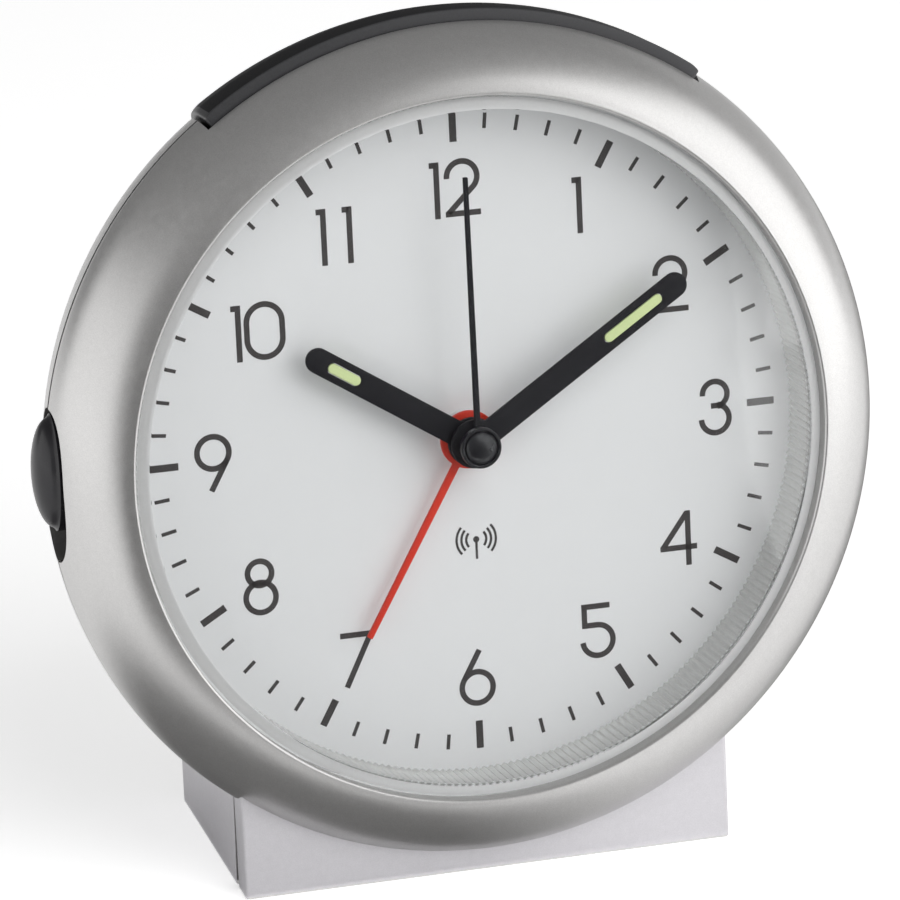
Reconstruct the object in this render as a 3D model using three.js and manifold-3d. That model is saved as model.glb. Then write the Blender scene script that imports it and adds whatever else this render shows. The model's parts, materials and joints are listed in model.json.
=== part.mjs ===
// A table alarm clock set by a radio time signal: a fat silver ring round a clear front with a ribbed
// skirt, a domed back on a block foot, a press bar on top, an alarm slider at the side, and a four-hand
// quartz movement inside. Millimetres, +Z up, origin at the middle of the underside of the foot.
//
// The clock is modelled in the frame of its dial: x to the right, y up along the dial, z towards the
// viewer, with the dial's face at z = 0. One group then leans that frame back and lifts it off the table.
import * as THREE from "three";
import { mergeVertices } from "three/addons/utils/BufferGeometryUtils.js";
import Module from "manifold-3d";

const wasm = await Module();
wasm.setup();
const radians = THREE.MathUtils.degToRad;

// Stance
const TILT = radians(8.74); // the dial leans back
const RING_LIFT = 1.5; // the ring clears the table

// Clearances
const FIT = 0.3; // between pieces that seat on each other
const RUN = 0.25; // between pieces that turn or slide on each other
const PRESS_FIT = 0.12; // between pieces pressed or inlaid into each other
const SEAM_GAP = 0.3; // open seam between the two shells

// Shells
const WALL = 2;
const OPENING_R = 45.75; // window in the ring
const RING_WIDTH = 9.35; // from the window to the rim
const RIM_Z = 0; // height at which the ring is widest
const RING_FULLNESS = 1.8; // 1 is a bevel, 2 a quarter ellipse
const SEAM_Z = -0.4;
const SEAM_STEP = 0.3; // the back shell is that much smaller
const BODY_DEPTH = 27.6; // behind the seam
const BACK_FLAT_R = 32; // flat middle of the domed back
const BOWL_FULLNESS = 1.7;
const FOOT_WIDTH = 65.8;
const FOOT_FRONT_Z = 3.4;
const FOOT_TOP_Y = -24; // where the foot's block runs out into the domed back
const LIP_WALL = 2; // depth of the edge that holds the crystal
const LIP_OVERLAP = 0.6;
const SKIRT_WALL = 1;
const LEDGE_WALL = 1.5; // ring that presses the dial forward
const LEDGE_WIDTH = 3.4;

// Crystal and dial
const LENS_WALL = 1.2;
const LENS_DROP = 0.4; // the crystal lies behind the ring's edge
const LENS_SIDE_WALL = 2;
const LENS_BEVEL = { width: 1.45, drop: 0.8 };
const RIB_COUNT = 96;
const RIB_DEPTH = 0.5;
const DIAL_WALL = 0.8;

// Hands
const ALARM_HAND_Z = 1.5; // underside of the lowest hand
const HAND_PITCH = 1.4; // from one hand to the next
const HAND_WALL = 0.6;
const HAND_WIDTH = 3.3;
const HAND_HUB_R = 3.2;
const HOUR_HAND = { length: 25.2, angle: 302.6, lumeLength: 4.8, lumeFromTip: 3.2 };
const MINUTE_HAND = { length: 34.5, angle: 57, lumeLength: 9.2, lumeFromTip: 3.9 };
const LUME_WIDTH = 1.3;
const ALARM_HAND = { length: 28.6, angle: 210.3, width: 1.2, discR: 3.9 };
const SECOND_HAND = { length: 34.9, angle: 359.6, width: 0.9, hubR: 2 };
const POINT_SHARE = 0.75; // a thin hand's tip against its root
const CAP_R = 2.7;
const CAP_HEIGHT = 1.5;
const CAP_RIM = { width: 0.55, height: 0.75 };
const GLASS_CLEARANCE = 0.3; // from the cap to the crystal

// Tubes and arbors on the centre
const SECOND_ARBOR_R = 0.8;
const TUBE_WALL = 0.45;
const ARBOR_R = 0.6;

// Movement
const PLATE = 1.2; // walls of the movement's case
const MOVEMENT_GAP = 0.4; // behind the dial
const MOVEMENT_HALF_WIDTH = 28.5;
const MOVEMENT_TOP = 19.2;
const MOVEMENT_BOTTOM = -22.5;
const LAYER_PITCH = 2; // from one wheel to the next along the centre
const WHEEL_WALL = 1.2;
const FIRST_LAYER_GAP = 0.6;

// Teeth: shares of the module and of half a tooth's pitch
const ADDENDUM = 0.85;
const DEDENDUM = 1.25;
const ROOT_SHARE = 0.55;
const TIP_SHARE = 0.2;

// Wheels: modules and teeth
const TRAIN_MODULE = 0.55;
const ROTOR_TEETH = 6;
const REDUCTION_TEETH = 30;
const REDUCTION_PINION_TEETH = 6;
const CENTRE_TEETH = 36;
const CANNON_TEETH = 8;
const MOTION_TEETH = 24;
const MOTION_PINION_TEETH = 6;
const HOUR_TEETH = 24;
const MOTION_MODULE = 0.75; // the hour wheel's module follows from the same distance
const ALARM_TEETH = 24;
const ALARM_PINION_TEETH = 8;
const ALARM_MODULE = 0.8;

// Directions seen from the front, anticlockwise from the right
const MOTION_DIRECTION = radians(29);
const SECONDS_DIRECTION = radians(149);
const MINUTES_DIRECTION = radians(300);
const SECONDS_ROTOR_DIRECTION = radians(180);
const MINUTES_ROTOR_DIRECTION = radians(340);
const ALARM_DIRECTION = radians(90);

// Stepper motors
const MAGNET_R = 2.2;
const AIR_GAP = 0.5;
const STATOR_RING = 1.7; // width of the iron round the rotor
const STATOR_WALL = 1;
const STATOR_HALF_LENGTH = 7;
const STATOR_LEG = 2;
const COIL_OFFSET = 8.5; // from the rotor to the coil
const COIL_WALL = 0.5;

// Snooze bar and its switch
const BAR_HALF_ANGLE = radians(36);
const BAR_PROUD = 1.1;
const BAR_SINK = 2.6; // how far the bar reaches into the body
const BAR_FRONT_Z = 3;
const BAR_BACK_DEPTH = 13.6;
const BAR_TRAVEL = 0.7;
const BAR_GAP = 0.4;
const PLUNGER_SIZE = 4;
const PLUNGER_DEPTH = 7.6; // behind the seam
const PLUNGER_LENGTH = 2.2; // below the bar
const KEY_SHARE = 0.75; // a switch's body against its height with the key
const SNOOZE_SWITCH = { width: 6, height: 3.4 };
const SHELF_WALL = 1.4;

// Alarm slider on the left
const SLIDER_Y = -0.55; // middle of the slider's opening
const SLIDER_LENGTH = 15.2;
const SLIDER_WIDTH = 7.8;
const SLIDER_PROUD = 1.7;
const SLIDER_SHOULDER = 0.9; // straight sides end that far below the rim
const SLIDER_TRAVEL = 3.4;
const SLIDER_END_GAP = 0.65;
const SLIDER_SIDE_GAP = 0.8;
const OPENING_FULLNESS = 2.6; // 2 is an ellipse, more is squarer
const TRACK_WALL = 1;
const TRACK_DROP = 3.7; // from the rim to the track
const TRACK_REACH = 0.9; // the track reaches past the opening
const STEM = { length: 3, width: 1.8, depth: 2.6 };
const SLIDE_SWITCH = { width: 5, length: 13, height: 6.2 };

// Back: knob, buttons, buzzer, cell
const ARBOR_KNOB_R = 1;
const KNOB_R = 8;
const KNOB_HEIGHT = 4;
const KNOB_FLUTES = 24;
const KNOB_FLUTE_DEPTH = 0.5;
const KNOB_SINK = 3.4; // depth of the knob's pocket
const KNOB_GAP = 1.2;
const POCKET_WALL = 1.4;
const BUTTON_NAMES = ["set_button", "receive_button", "reset_button"];
const BUTTON_X = -7;
const BUTTON_Y = -8;
const BUTTON_SPACING = 9;
const BUTTON_R = 2.6;
const BUTTON_PROUD = 0.6;
const BUTTON_TRAVEL = 0.6;
const BUTTON_FLANGE = { reach: 1, height: 1 };
const BUTTON_STEM_R = 1.2;
const BUTTON_SWITCH = { width: 5, height: 2 };
const BOARD = { width: 28, height: 19.5, wall: 1.2 };
const BOARD_MARGIN = 0.8; // from the edge of the board to what is mounted on it
const CHIP = { size: 6, height: 1.4 };
const QUARTZ = { r: 1.4, length: 6 };
const BUZZER = { x: 20, y: -4, r: 9, height: 3 };
const SOUND_SLOTS = 5;
const SOUND_SLOT = { length: 12, width: 1.4, pitch: 2.6 };
const CELL_R = 7.1;
const CELL_LENGTH = 49.3;
const CELL_NUB = { r: 2.6, length: 1.2 };
const CELL_RISE = 21.1; // from the rim's lowest point to the cell
const CELL_GAP = 0.4;
const CONTACT_WALL = 0.5;
const CONTACT_SIZE = 10;
const SPRING = { length: 3.6, turns: 3, wireR: 0.35, r: 4, tipR: 2.6 };
const TRAY_WALL = 1.2;
const COVER_WALL = 1.6;
const COVER_LEDGE = 1;
const COVER_RIBS = 5;
const COVER_RIB = { length: 12, width: 1, height: 0.5, pitch: 2.2 };

// Aerial
const ROD_R = 4;
const ROD_LENGTH = 50;
const AERIAL_GAP = 0.8; // below the shelf of the snooze switch
const ROD_Z = -12;
const WINDING = { length: 18, wall: 1.4 };
const CRADLE_X = 19;
const CRADLE_WALL = 2;

// Screws
const SCREW_ANGLES = [42, 325, 215, 138].map(radians);
const SCREW_R = 1;
const SCREW_HEAD = { r: 1.9, height: 1.5 };
const SCREW_SEAT_DEPTH = 6.6; // behind the seam
const SCREW_REACH = 3.2; // in front of the seam
const POST_R = 2.5;
const POST_INSET = 4.5;

// Facets
const SHELL_STEPS = 36;
const FACE_STEPS = 6; // across the ring and down the domed back
const HOLLOW_STEPS = 3; // short curves and hidden ones
const ROUND_STEPS = 18;
const SMALL_STEPS = 10;
const PIVOT_STEPS = 8;
const CURL_STEPS = 8;
const CURL_SIDES = [0, 72, 144, 216, 288].map(radians);
const FAR = 200; // cutters reach past everything

// Derived sizes
const frameR = OPENING_R + RING_WIDTH;
const rearR = frameR - SEAM_STEP;
const frameBack = SEAM_Z + SEAM_GAP / 2;
const rearFront = SEAM_Z - SEAM_GAP / 2;
const backZ = SEAM_Z - BODY_DEPTH;
const innerBackZ = backZ + WALL;
const handZ = (level) => ALARM_HAND_Z + level * HAND_PITCH;
const [ALARM, HOUR, MINUTE, SECOND] = [0, 1, 2, 3];
const capZ = handZ(SECOND) + HAND_WALL + FIT;
const lensInnerZ = capZ + CAP_HEIGHT + GLASS_CLEARANCE;
const lensFrontZ = lensInnerZ + LENS_WALL;
const lipZ = lensFrontZ + LENS_DROP;
const lensR = OPENING_R - FIT;
const shoulderR = OPENING_R + LIP_OVERLAP;
const skirtInnerR = shoulderR + FIT;
const skirtOuterR = skirtInnerR + SKIRT_WALL;
const frameInnerR = frameR - WALL;
const ledgeZ = -DIAL_WALL - FIT;
const dialHeight = frameR * Math.cos(TILT) - SEAM_Z * Math.sin(TILT) + RING_LIFT;
const floorY = (z) => (-dialHeight - z * Math.sin(TILT)) / Math.cos(TILT);
const depthOnTable = (z) => z * Math.cos(TILT) - floorY(z) * Math.sin(TILT);
const dialForward = (depthOnTable(FOOT_FRONT_Z) + depthOnTable(backZ)) / 2;

// Movement levels, from the front
const caseFront = -DIAL_WALL - MOVEMENT_GAP;
const caseInside = caseFront - PLATE;
const LAYERS = { alarm: 0, hour: 1, motion: 2, minute: 3, reduction: 4, second: 5 };
const layerFront = (layer) => caseInside - FIRST_LAYER_GAP - layer * LAYER_PITCH;
const layerBack = (layer) => layerFront(layer) - WHEEL_WALL;
const caseRearInside = layerBack(LAYERS.second) - FIRST_LAYER_GAP - RUN;
const caseBack = caseRearInside - PLATE;
const pivotFront = caseFront - PLATE / 4;
const pivotBack = caseBack + PLATE / 4;

// Radii on the centre, from the inside out
const minuteTubeInner = SECOND_ARBOR_R + RUN;
const minuteTubeOuter = minuteTubeInner + TUBE_WALL;
const hourTubeInner = minuteTubeOuter + RUN;
const hourTubeOuter = hourTubeInner + TUBE_WALL;
const alarmTubeInner = hourTubeOuter + RUN;
const alarmTubeOuter = alarmTubeInner + TUBE_WALL;
const bushInner = alarmTubeOuter + RUN;
const bushOuter = bushInner + TUBE_WALL;
const bushFront = (ALARM_HAND_Z * 2) / 3;

// Distances between wheels
const pitchRadius = (teeth, module) => (teeth * module) / 2;
const trainDistance = pitchRadius(REDUCTION_PINION_TEETH + CENTRE_TEETH, TRAIN_MODULE);
const rotorDistance = pitchRadius(ROTOR_TEETH + REDUCTION_TEETH, TRAIN_MODULE);
const alarmDistance = pitchRadius(ALARM_TEETH + ALARM_PINION_TEETH, ALARM_MODULE);
const motionDistance = pitchRadius(CANNON_TEETH + MOTION_TEETH, MOTION_MODULE);
const hourModule = (2 * motionDistance) / (HOUR_TEETH + MOTION_PINION_TEETH);

const polar = (direction, distance) =>
  new THREE.Vector2(Math.cos(direction) * distance, Math.sin(direction) * distance);
const motionAt = polar(MOTION_DIRECTION, motionDistance);
const secondsAt = polar(SECONDS_DIRECTION, trainDistance);
const minutesAt = polar(MINUTES_DIRECTION, trainDistance);
const secondsRotorAt = polar(SECONDS_ROTOR_DIRECTION, rotorDistance).add(secondsAt);
const minutesRotorAt = polar(MINUTES_ROTOR_DIRECTION, rotorDistance).add(minutesAt);
const knobAt = polar(ALARM_DIRECTION, alarmDistance);

// Side slider
const trackOuterR = frameR - TRACK_DROP;
const trackInnerR = trackOuterR - TRACK_WALL;
const sliderBaseX = trackOuterR + RUN;
const sliderHalfOpening = (SLIDER_LENGTH + SLIDER_TRAVEL) / 2 + SLIDER_END_GAP;
const sliderHalfHeight = SLIDER_WIDTH / 2 + SLIDER_SIDE_GAP;
const sliderRestY = SLIDER_Y + SLIDER_TRAVEL / 2;
const sliderDirection = Math.PI - Math.asin(SLIDER_Y / trackInnerR);

// Cell and its cover
const cellY = -frameR + CELL_RISE;
const coverInnerZ = backZ + COVER_WALL;
const cellZ = coverInnerZ + CELL_GAP + CELL_R;
const trayHalfLength = (CELL_LENGTH + CELL_NUB.length + SPRING.length + CONTACT_WALL) / 2 + 2 * FIT;
const trayHalfWidth = CELL_R + CELL_GAP;
const coverHalfLength = trayHalfLength + COVER_LEDGE - FIT;
const coverHalfWidth = trayHalfWidth + COVER_LEDGE - FIT;

const boardFront = caseBack - FIT;
const boardBack = boardFront - BOARD.wall;
const buttonSwitchBack = boardBack - FIT - BUTTON_SWITCH.height;
const buttonEnd = buttonSwitchBack - BUTTON_TRAVEL - FIT;
const barUnderY = bowlRadius(PLUNGER_DEPTH) - BAR_SINK;
const plungerEndY = barUnderY - PLUNGER_LENGTH;
const snoozeSwitchY = plungerEndY - BAR_TRAVEL - FIT - SNOOZE_SWITCH.height;
const shelfTop = snoozeSwitchY - FIT;
const windingR = ROD_R + FIT + WINDING.wall;
const aerialY = shelfTop - SHELF_WALL - AERIAL_GAP - windingR;
const screwCircle = (skirtOuterR + frameInnerR) / 2;
const frameBossR = (frameInnerR - skirtOuterR) / 2 + FIT;
const rearBossR = SCREW_HEAD.r + FIT + SKIRT_WALL / 2;
const buttonX = (index) => BUTTON_X + (index - 1) * BUTTON_SPACING;

// Materials
const finish = (color, roughness, metalness = 0) =>
  new THREE.MeshStandardMaterial({ color, roughness, metalness });
const silverPaint = finish(0xbdbcb9, 0.38, 0.6);
const clearPlastic = finish(0xf4f6f6, 0.06);
const dialPaint = finish(0xd7d7d8, 0.45, 0.1);
const blackPlastic = finish(0x26262a, 0.4);
const glossBlack = finish(0x121214, 0.12);
const handBlack = finish(0x17171a, 0.45);
const handRed = finish(0xc83223, 0.5);
const lumePaint = finish(0xcddca0, 0.7);
const whiteNylon = finish(0xe9e6dc, 0.5);
const caseGrey = finish(0x3c3f44, 0.55);
const steel = finish(0xb9bcc0, 0.3, 1);
const magnetGrey = finish(0x55565a, 0.4, 0.8);
const copper = finish(0xb5673a, 0.4, 0.9);
const boardGreen = finish(0x2f6a45, 0.5);
const chipBlack = finish(0x1b1b1d, 0.5);
const ferrite = finish(0x3a3838, 0.6);
const brass = finish(0xc9a558, 0.3, 1);
const cellWrap = finish(0x8a8f96, 0.35, 0.3);

// A closed geometry as a solid that can be joined and cut.
function solid(geometry) {
  const bare = geometry.index ? geometry.toNonIndexed() : geometry.clone();
  bare.deleteAttribute("normal");
  bare.deleteAttribute("uv");
  const merged = mergeVertices(bare, 1e-4);
  const corners = [];
  for (let i = 0; i < merged.index.count; i += 3) {
    const [a, b, c] = merged.index.array.slice(i, i + 3);
    if (a !== b && b !== c && a !== c) corners.push(a, b, c);
  }
  const vertProperties = new Float32Array(merged.attributes.position.array);
  const triVerts = new Uint32Array(corners);
  return new wasm.Manifold(new wasm.Mesh({ numProp: 3, vertProperties, triVerts }));
}

// A solid's surface as a geometry to draw.
function surface(made) {
  const { numProp, vertProperties, triVerts } = made.getMesh();
  const geometry = new THREE.BufferGeometry();
  const points = new THREE.InterleavedBuffer(vertProperties, numProp);
  geometry.setAttribute("position", new THREE.InterleavedBufferAttribute(points, 3, 0));
  geometry.setIndex(new THREE.BufferAttribute(triVerts, 1));
  const flat = geometry.toNonIndexed();
  flat.computeVertexNormals();
  return flat;
}

const join = (...solids) => solids.reduce((whole, next) => whole.add(next));
const cut = (whole, ...cutters) => cutters.reduce((rest, next) => rest.subtract(next), whole);

// A ring or disc turned about z from a closed profile of [radius, z] points.
function revolve(profile, steps = ROUND_STEPS) {
  const points = profile.map(([r, z]) => new THREE.Vector2(r, z));
  if (THREE.ShapeUtils.area(points) < 0) points.reverse();
  const turned = new THREE.LatheGeometry([...points, points[0]], steps);
  return solid(turned.rotateX(Math.PI / 2));
}

// A shape in x and y made thick from one height to another.
function thicken(shape, from, to, curveSegments = SMALL_STEPS) {
  const options = { depth: Math.abs(to - from), bevelEnabled: false, curveSegments };
  return solid(new THREE.ExtrudeGeometry(shape, options).translate(0, 0, Math.min(from, to)));
}

// A shape drawn in z (across) and y (up) made thick along x.
function thickenAlongX(shape, from, to, curveSegments = SMALL_STEPS) {
  const options = { depth: to - from, bevelEnabled: false, curveSegments };
  const geometry = new THREE.ExtrudeGeometry(shape, options);
  return solid(geometry.rotateY(-Math.PI / 2).translate(to, 0, 0));
}

function rod(r, from, to, at = new THREE.Vector2(), steps = SMALL_STEPS) {
  const geometry = new THREE.CylinderGeometry(r, r, Math.abs(to - from), steps);
  return solid(geometry.rotateX(Math.PI / 2).translate(at.x, at.y, (from + to) / 2));
}

function rodAlongX(r, from, to, y, z, steps = SMALL_STEPS) {
  const geometry = new THREE.CylinderGeometry(r, r, to - from, steps);
  return solid(geometry.rotateZ(Math.PI / 2).translate((from + to) / 2, y, z));
}

function block([x0, x1], [y0, y1], [z0, z1]) {
  const geometry = new THREE.BoxGeometry(x1 - x0, y1 - y0, Math.abs(z1 - z0));
  return solid(geometry.translate((x0 + x1) / 2, (y0 + y1) / 2, (z0 + z1) / 2));
}

const around = (middle, half) => [middle - half, middle + half];

// A slice of cake about z, used to keep or cut an arc of a ring.
function wedge(direction, halfAngle) {
  const corner = (side) => polar(direction + side * halfAngle, FAR / Math.cos(halfAngle));
  const shape = new THREE.Shape([new THREE.Vector2(), corner(-1), corner(1)]);
  return thicken(shape, -FAR, FAR);
}

// A quarter of a fullness curve: from radius r0 + a at z0 to radius r0 at z0 + b.
function fullnessArc(r0, z0, a, b, fullness, steps) {
  const points = [];
  for (let step = 0; step <= steps; step += 1) {
    const turn = (step / steps) * (Math.PI / 2);
    const across = Math.max(Math.cos(turn), 0) ** (2 / fullness);
    const along = Math.sin(turn) ** (2 / fullness);
    points.push([r0 + a * across, z0 + b * along]);
  }
  return points;
}

// Radius of the domed back at a depth behind the seam.
function bowlRadius(depth) {
  const share = Math.min(depth / BODY_DEPTH, 1) ** BOWL_FULLNESS;
  return BACK_FLAT_R + (rearR - BACK_FLAT_R) * (1 - share) ** (1 / BOWL_FULLNESS);
}

// The block of the foot between two heights, standing on a floor lifted off the table.
function footBlock(halfWidth, back, front, lift, top) {
  const shape = new THREE.Shape([
    new THREE.Vector2(back, floorY(back) + lift),
    new THREE.Vector2(front, floorY(front) + lift),
    new THREE.Vector2(front, top),
    new THREE.Vector2(back, top),
  ]);
  return thickenAlongX(shape, -halfWidth, halfWidth);
}

// The ring that the snooze bar is an arc of, grown by a gap all round and sunk further for its travel.
function barRing(gap, travel) {
  const front = BAR_FRONT_Z + gap;
  const depths = [0, 0.25, 0.5, 0.75, 1].map((share) => share * (BAR_BACK_DEPTH + gap));
  const skin = [[frameR, front], ...depths.map((depth) => [bowlRadius(depth), SEAM_Z - depth])];
  const top = skin.map(([r, z]) => [r + BAR_PROUD + gap, z]);
  const under = skin.map(([r, z]) => [r - BAR_SINK - gap - travel, z]);
  return revolve([...top, ...under.reverse()], SHELL_STEPS);
}

const TOP = Math.PI / 2;
const barSideGap = () => (BAR_GAP + BAR_TRAVEL) / frameR;

function barOpening() {
  const ring = barRing(BAR_GAP, BAR_TRAVEL);
  return ring.intersect(wedge(TOP, BAR_HALF_ANGLE + barSideGap()));
}

function sliderOpening() {
  const bent = (value) => Math.sign(value) * Math.abs(value) ** (2 / OPENING_FULLNESS);
  const corners = Array.from({ length: 2 * ROUND_STEPS }, (unused, step) => {
    const turn = (step * Math.PI) / ROUND_STEPS;
    const across = sliderHalfHeight * bent(Math.cos(turn));
    return new THREE.Vector2(SEAM_Z + across, SLIDER_Y + sliderHalfOpening * bent(Math.sin(turn)));
  });
  return thickenAlongX(new THREE.Shape(corners), -FAR, -trackOuterR);
}

// Shells

function frontFrame() {
  const face = fullnessArc(OPENING_R, RIM_Z, RING_WIDTH, lipZ - RIM_Z, RING_FULLNESS, FACE_STEPS);
  const hollowTop = lipZ - WALL - FIT;
  const hollowWidth = frameInnerR - skirtOuterR;
  const hollowRise = hollowTop - RIM_Z;
  const hollow = fullnessArc(skirtOuterR, RIM_Z, hollowWidth, hollowRise, RING_FULLNESS, HOLLOW_STEPS);
  const ring = revolve(
    [
      [frameR, frameBack],
      ...face,
      [OPENING_R, lipZ - LIP_WALL],
      [skirtInnerR, lipZ - LIP_WALL],
      [skirtInnerR, frameBack],
      [skirtOuterR, frameBack],
      ...hollow.reverse(),
      [frameInnerR, frameBack],
    ],
    SHELL_STEPS,
  );
  const half = FOOT_WIDTH / 2;
  const foot = cut(
    footBlock(half, frameBack, FOOT_FRONT_Z, 0, FOOT_TOP_Y),
    footBlock(half - WALL, frameBack - WALL, FOOT_FRONT_Z - WALL, WALL, FOOT_TOP_Y + WALL),
    rod(frameR - WALL / 2, -FAR, FAR, new THREE.Vector2(), SHELL_STEPS),
  );
  const bossTop = frameBack + SCREW_REACH + FIT + WALL / 2;
  const bosses = SCREW_ANGLES.map((angle) =>
    rod(frameBossR, frameBack, bossTop, polar(angle, screwCircle), PIVOT_STEPS),
  );
  const pilots = SCREW_ANGLES.map((angle) =>
    rod(SCREW_R + FIT, -FAR, frameBack + SCREW_REACH + FIT, polar(angle, screwCircle), PIVOT_STEPS),
  );
  return cut(join(ring, foot, ...bosses), ...pilots, barOpening(), sliderOpening(), trackArc(FIT));
}

// The domed back's outside or inside, closed by a flat front.
function bowl(radius, front, back, steps) {
  const width = radius - BACK_FLAT_R;
  const arc = fullnessArc(BACK_FLAT_R, SEAM_Z, width, back - SEAM_Z, BOWL_FULLNESS, steps);
  arc[0][1] = front;
  return revolve([[0, front], ...arc, [0, back]], SHELL_STEPS);
}

// The arc that the alarm slider's track is cut from, grown by a gap.
function trackArc(gap) {
  const [back, front] = around(SEAM_Z, sliderHalfHeight - FIT + gap);
  const ring = revolve(
    [
      [trackInnerR - gap, back],
      [trackOuterR + gap, back],
      [trackOuterR + gap, front],
      [trackInnerR - gap, front],
    ],
    SHELL_STEPS,
  );
  const halfAngle = Math.asin((sliderHalfOpening + TRACK_REACH + gap) / trackInnerR);
  return ring.intersect(wedge(sliderDirection, halfAngle));
}

function housingFittings() {
  const ledge = revolve([
    [shoulderR - LEDGE_WIDTH, ledgeZ],
    [frameR, ledgeZ],
    [frameR, ledgeZ - LEDGE_WALL],
    [shoulderR - LEDGE_WIDTH, ledgeZ - LEDGE_WALL],
  ], SHELL_STEPS);
  const trackRoom = cut(
    wedge(sliderDirection, Math.asin((sliderHalfOpening + 2 * TRACK_REACH) / trackInnerR)),
    rod(trackInnerR - RUN - SLIDE_SWITCH.width - 2 * FIT, -FAR, FAR, new THREE.Vector2(), SHELL_STEPS),
  );
  const bosses = SCREW_ANGLES.map((angle) =>
    rod(rearBossR, backZ, rearFront, polar(angle, screwCircle), PIVOT_STEPS),
  );
  const postX = MOVEMENT_HALF_WIDTH - POST_INSET;
  const posts = [-1, 1].flatMap((side) =>
    [MOVEMENT_TOP - POST_INSET, MOVEMENT_BOTTOM + POST_INSET].map((y) =>
      rod(POST_R, backZ + WALL / 2, caseBack - FIT, new THREE.Vector2(side * postX, y)),
    ),
  );
  const tray = block(
    around(0, trayHalfLength + COVER_LEDGE + TRAY_WALL),
    around(cellY, trayHalfWidth + COVER_LEDGE + TRAY_WALL),
    [backZ + WALL / 2, cellZ + CELL_R + CELL_GAP + TRAY_WALL],
  );
  const pocketFloor = backZ + KNOB_SINK + POCKET_WALL;
  const pocket = rod(KNOB_R + KNOB_GAP + POCKET_WALL, backZ, pocketFloor, knobAt, ROUND_STEPS);
  const cradles = [-1, 1].map((side) =>
    cut(
      block(
        around(side * CRADLE_X, CRADLE_WALL / 2),
        around(aerialY, ROD_R + CRADLE_WALL),
        [backZ, ROD_Z + ROD_R],
      ),
      rodAlongX(ROD_R + FIT, -FAR, FAR, aerialY, ROD_Z),
      block([-FAR, FAR], around(aerialY, ROD_R + FIT), [ROD_Z, FAR]),
    ),
  );
  const shelf = block(
    around(0, SNOOZE_SWITCH.width),
    [shelfTop - SHELF_WALL, shelfTop],
    [backZ, SEAM_Z - PLUNGER_DEPTH + SNOOZE_SWITCH.width / 2],
  );
  return join(cut(ledge, trackRoom), ...bosses, ...posts, tray, pocket, ...cradles, shelf);
}

function rearHousing() {
  const half = FOOT_WIDTH / 2;
  const outside = join(
    bowl(rearR, rearFront, backZ, FACE_STEPS),
    footBlock(half, backZ, rearFront, 0, FOOT_TOP_Y),
  );
  const inside = join(
    bowl(rearR - WALL, rearFront + WALL, innerBackZ, HOLLOW_STEPS + 1),
    footBlock(half - WALL, innerBackZ, rearFront + WALL, WALL, FOOT_TOP_Y - WALL),
  );
  const shell = cut(outside, inside).add(housingFittings().intersect(outside));
  const screwHoles = SCREW_ANGLES.flatMap((angle) => {
    const at = polar(angle, screwCircle);
    return [
      rod(SCREW_R + FIT, -FAR, FAR, at, PIVOT_STEPS),
      rod(SCREW_HEAD.r + FIT, -FAR, SEAM_Z - SCREW_SEAT_DEPTH, at, PIVOT_STEPS),
    ];
  });
  const cellRoom = block(
    around(0, trayHalfLength),
    around(cellY, trayHalfWidth),
    [-FAR, cellZ + CELL_R + CELL_GAP],
  );
  const coverRoom = block(
    around(0, coverHalfLength + FIT),
    around(cellY, coverHalfWidth + FIT),
    [-FAR, coverInnerZ + FIT],
  );
  const knobRoom = rod(KNOB_R + KNOB_GAP, -FAR, backZ + KNOB_SINK, knobAt, ROUND_STEPS);
  const arborHole = rod(ARBOR_KNOB_R + RUN, -FAR, caseBack - FIT, knobAt);
  const buttonHoles = BUTTON_NAMES.map((name, index) =>
    rod(BUTTON_R + RUN, -FAR, innerBackZ + FIT, new THREE.Vector2(buttonX(index), BUTTON_Y)),
  );
  const slots = Array.from({ length: SOUND_SLOTS }, (unused, index) => {
    const y = BUZZER.y + (index - (SOUND_SLOTS - 1) / 2) * SOUND_SLOT.pitch;
    const x = around(BUZZER.x, SOUND_SLOT.length / 2);
    return block(x, around(y, SOUND_SLOT.width / 2), [-FAR, innerBackZ + FIT]);
  });
  const openings = [cellRoom, coverRoom, knobRoom, arborHole, ...buttonHoles, ...slots];
  return cut(shell, ...screwHoles, ...openings, barOpening(), sliderOpening(), trackArc(FIT));
}

// Crystal and dial

function crystal() {
  const shoulderZ = lipZ - LIP_WALL - FIT;
  const blank = revolve(
    [
      [0, lensFrontZ],
      [0, FIT],
      [shoulderR, FIT],
      [shoulderR, shoulderZ],
      [lensR, shoulderZ],
      [lensR, lensFrontZ - LENS_BEVEL.drop],
      [lensR - LENS_BEVEL.width, lensFrontZ],
    ],
    SHELL_STEPS,
  );
  const ribs = new THREE.Shape();
  const grooveR = shoulderR - LENS_SIDE_WALL;
  for (let index = 0; index < 2 * RIB_COUNT; index += 1) {
    const at = polar((index * Math.PI) / RIB_COUNT, grooveR - (index % 2) * RIB_DEPTH);
    if (index === 0) ribs.moveTo(at.x, at.y);
    else ribs.lineTo(at.x, at.y);
  }
  return cut(blank, thicken(ribs, -FIT, lensInnerZ));
}

function dial() {
  return revolve(
    [
      [bushOuter + FIT, 0],
      [shoulderR, 0],
      [shoulderR, -DIAL_WALL],
      [bushOuter + FIT, -DIAL_WALL],
    ],
    SHELL_STEPS,
  );
}

// Hands: each points up and is turned to its place on the dial

function baton(hand, tubeR, z) {
  const bar = new THREE.Shape();
  const half = HAND_WIDTH / 2;
  bar.moveTo(-half, 0);
  bar.lineTo(half, 0);
  bar.absarc(0, hand.length - half, half, 0, Math.PI);
  const hub = rod(HAND_HUB_R, z, z + HAND_WALL, undefined, ROUND_STEPS);
  return cut(
    join(thicken(bar, z, z + HAND_WALL, HOLLOW_STEPS), hub),
    rod(tubeR + PRESS_FIT, -FAR, FAR),
    lumeStrip(hand, PRESS_FIT, -FAR, FAR),
  );
}

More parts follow.
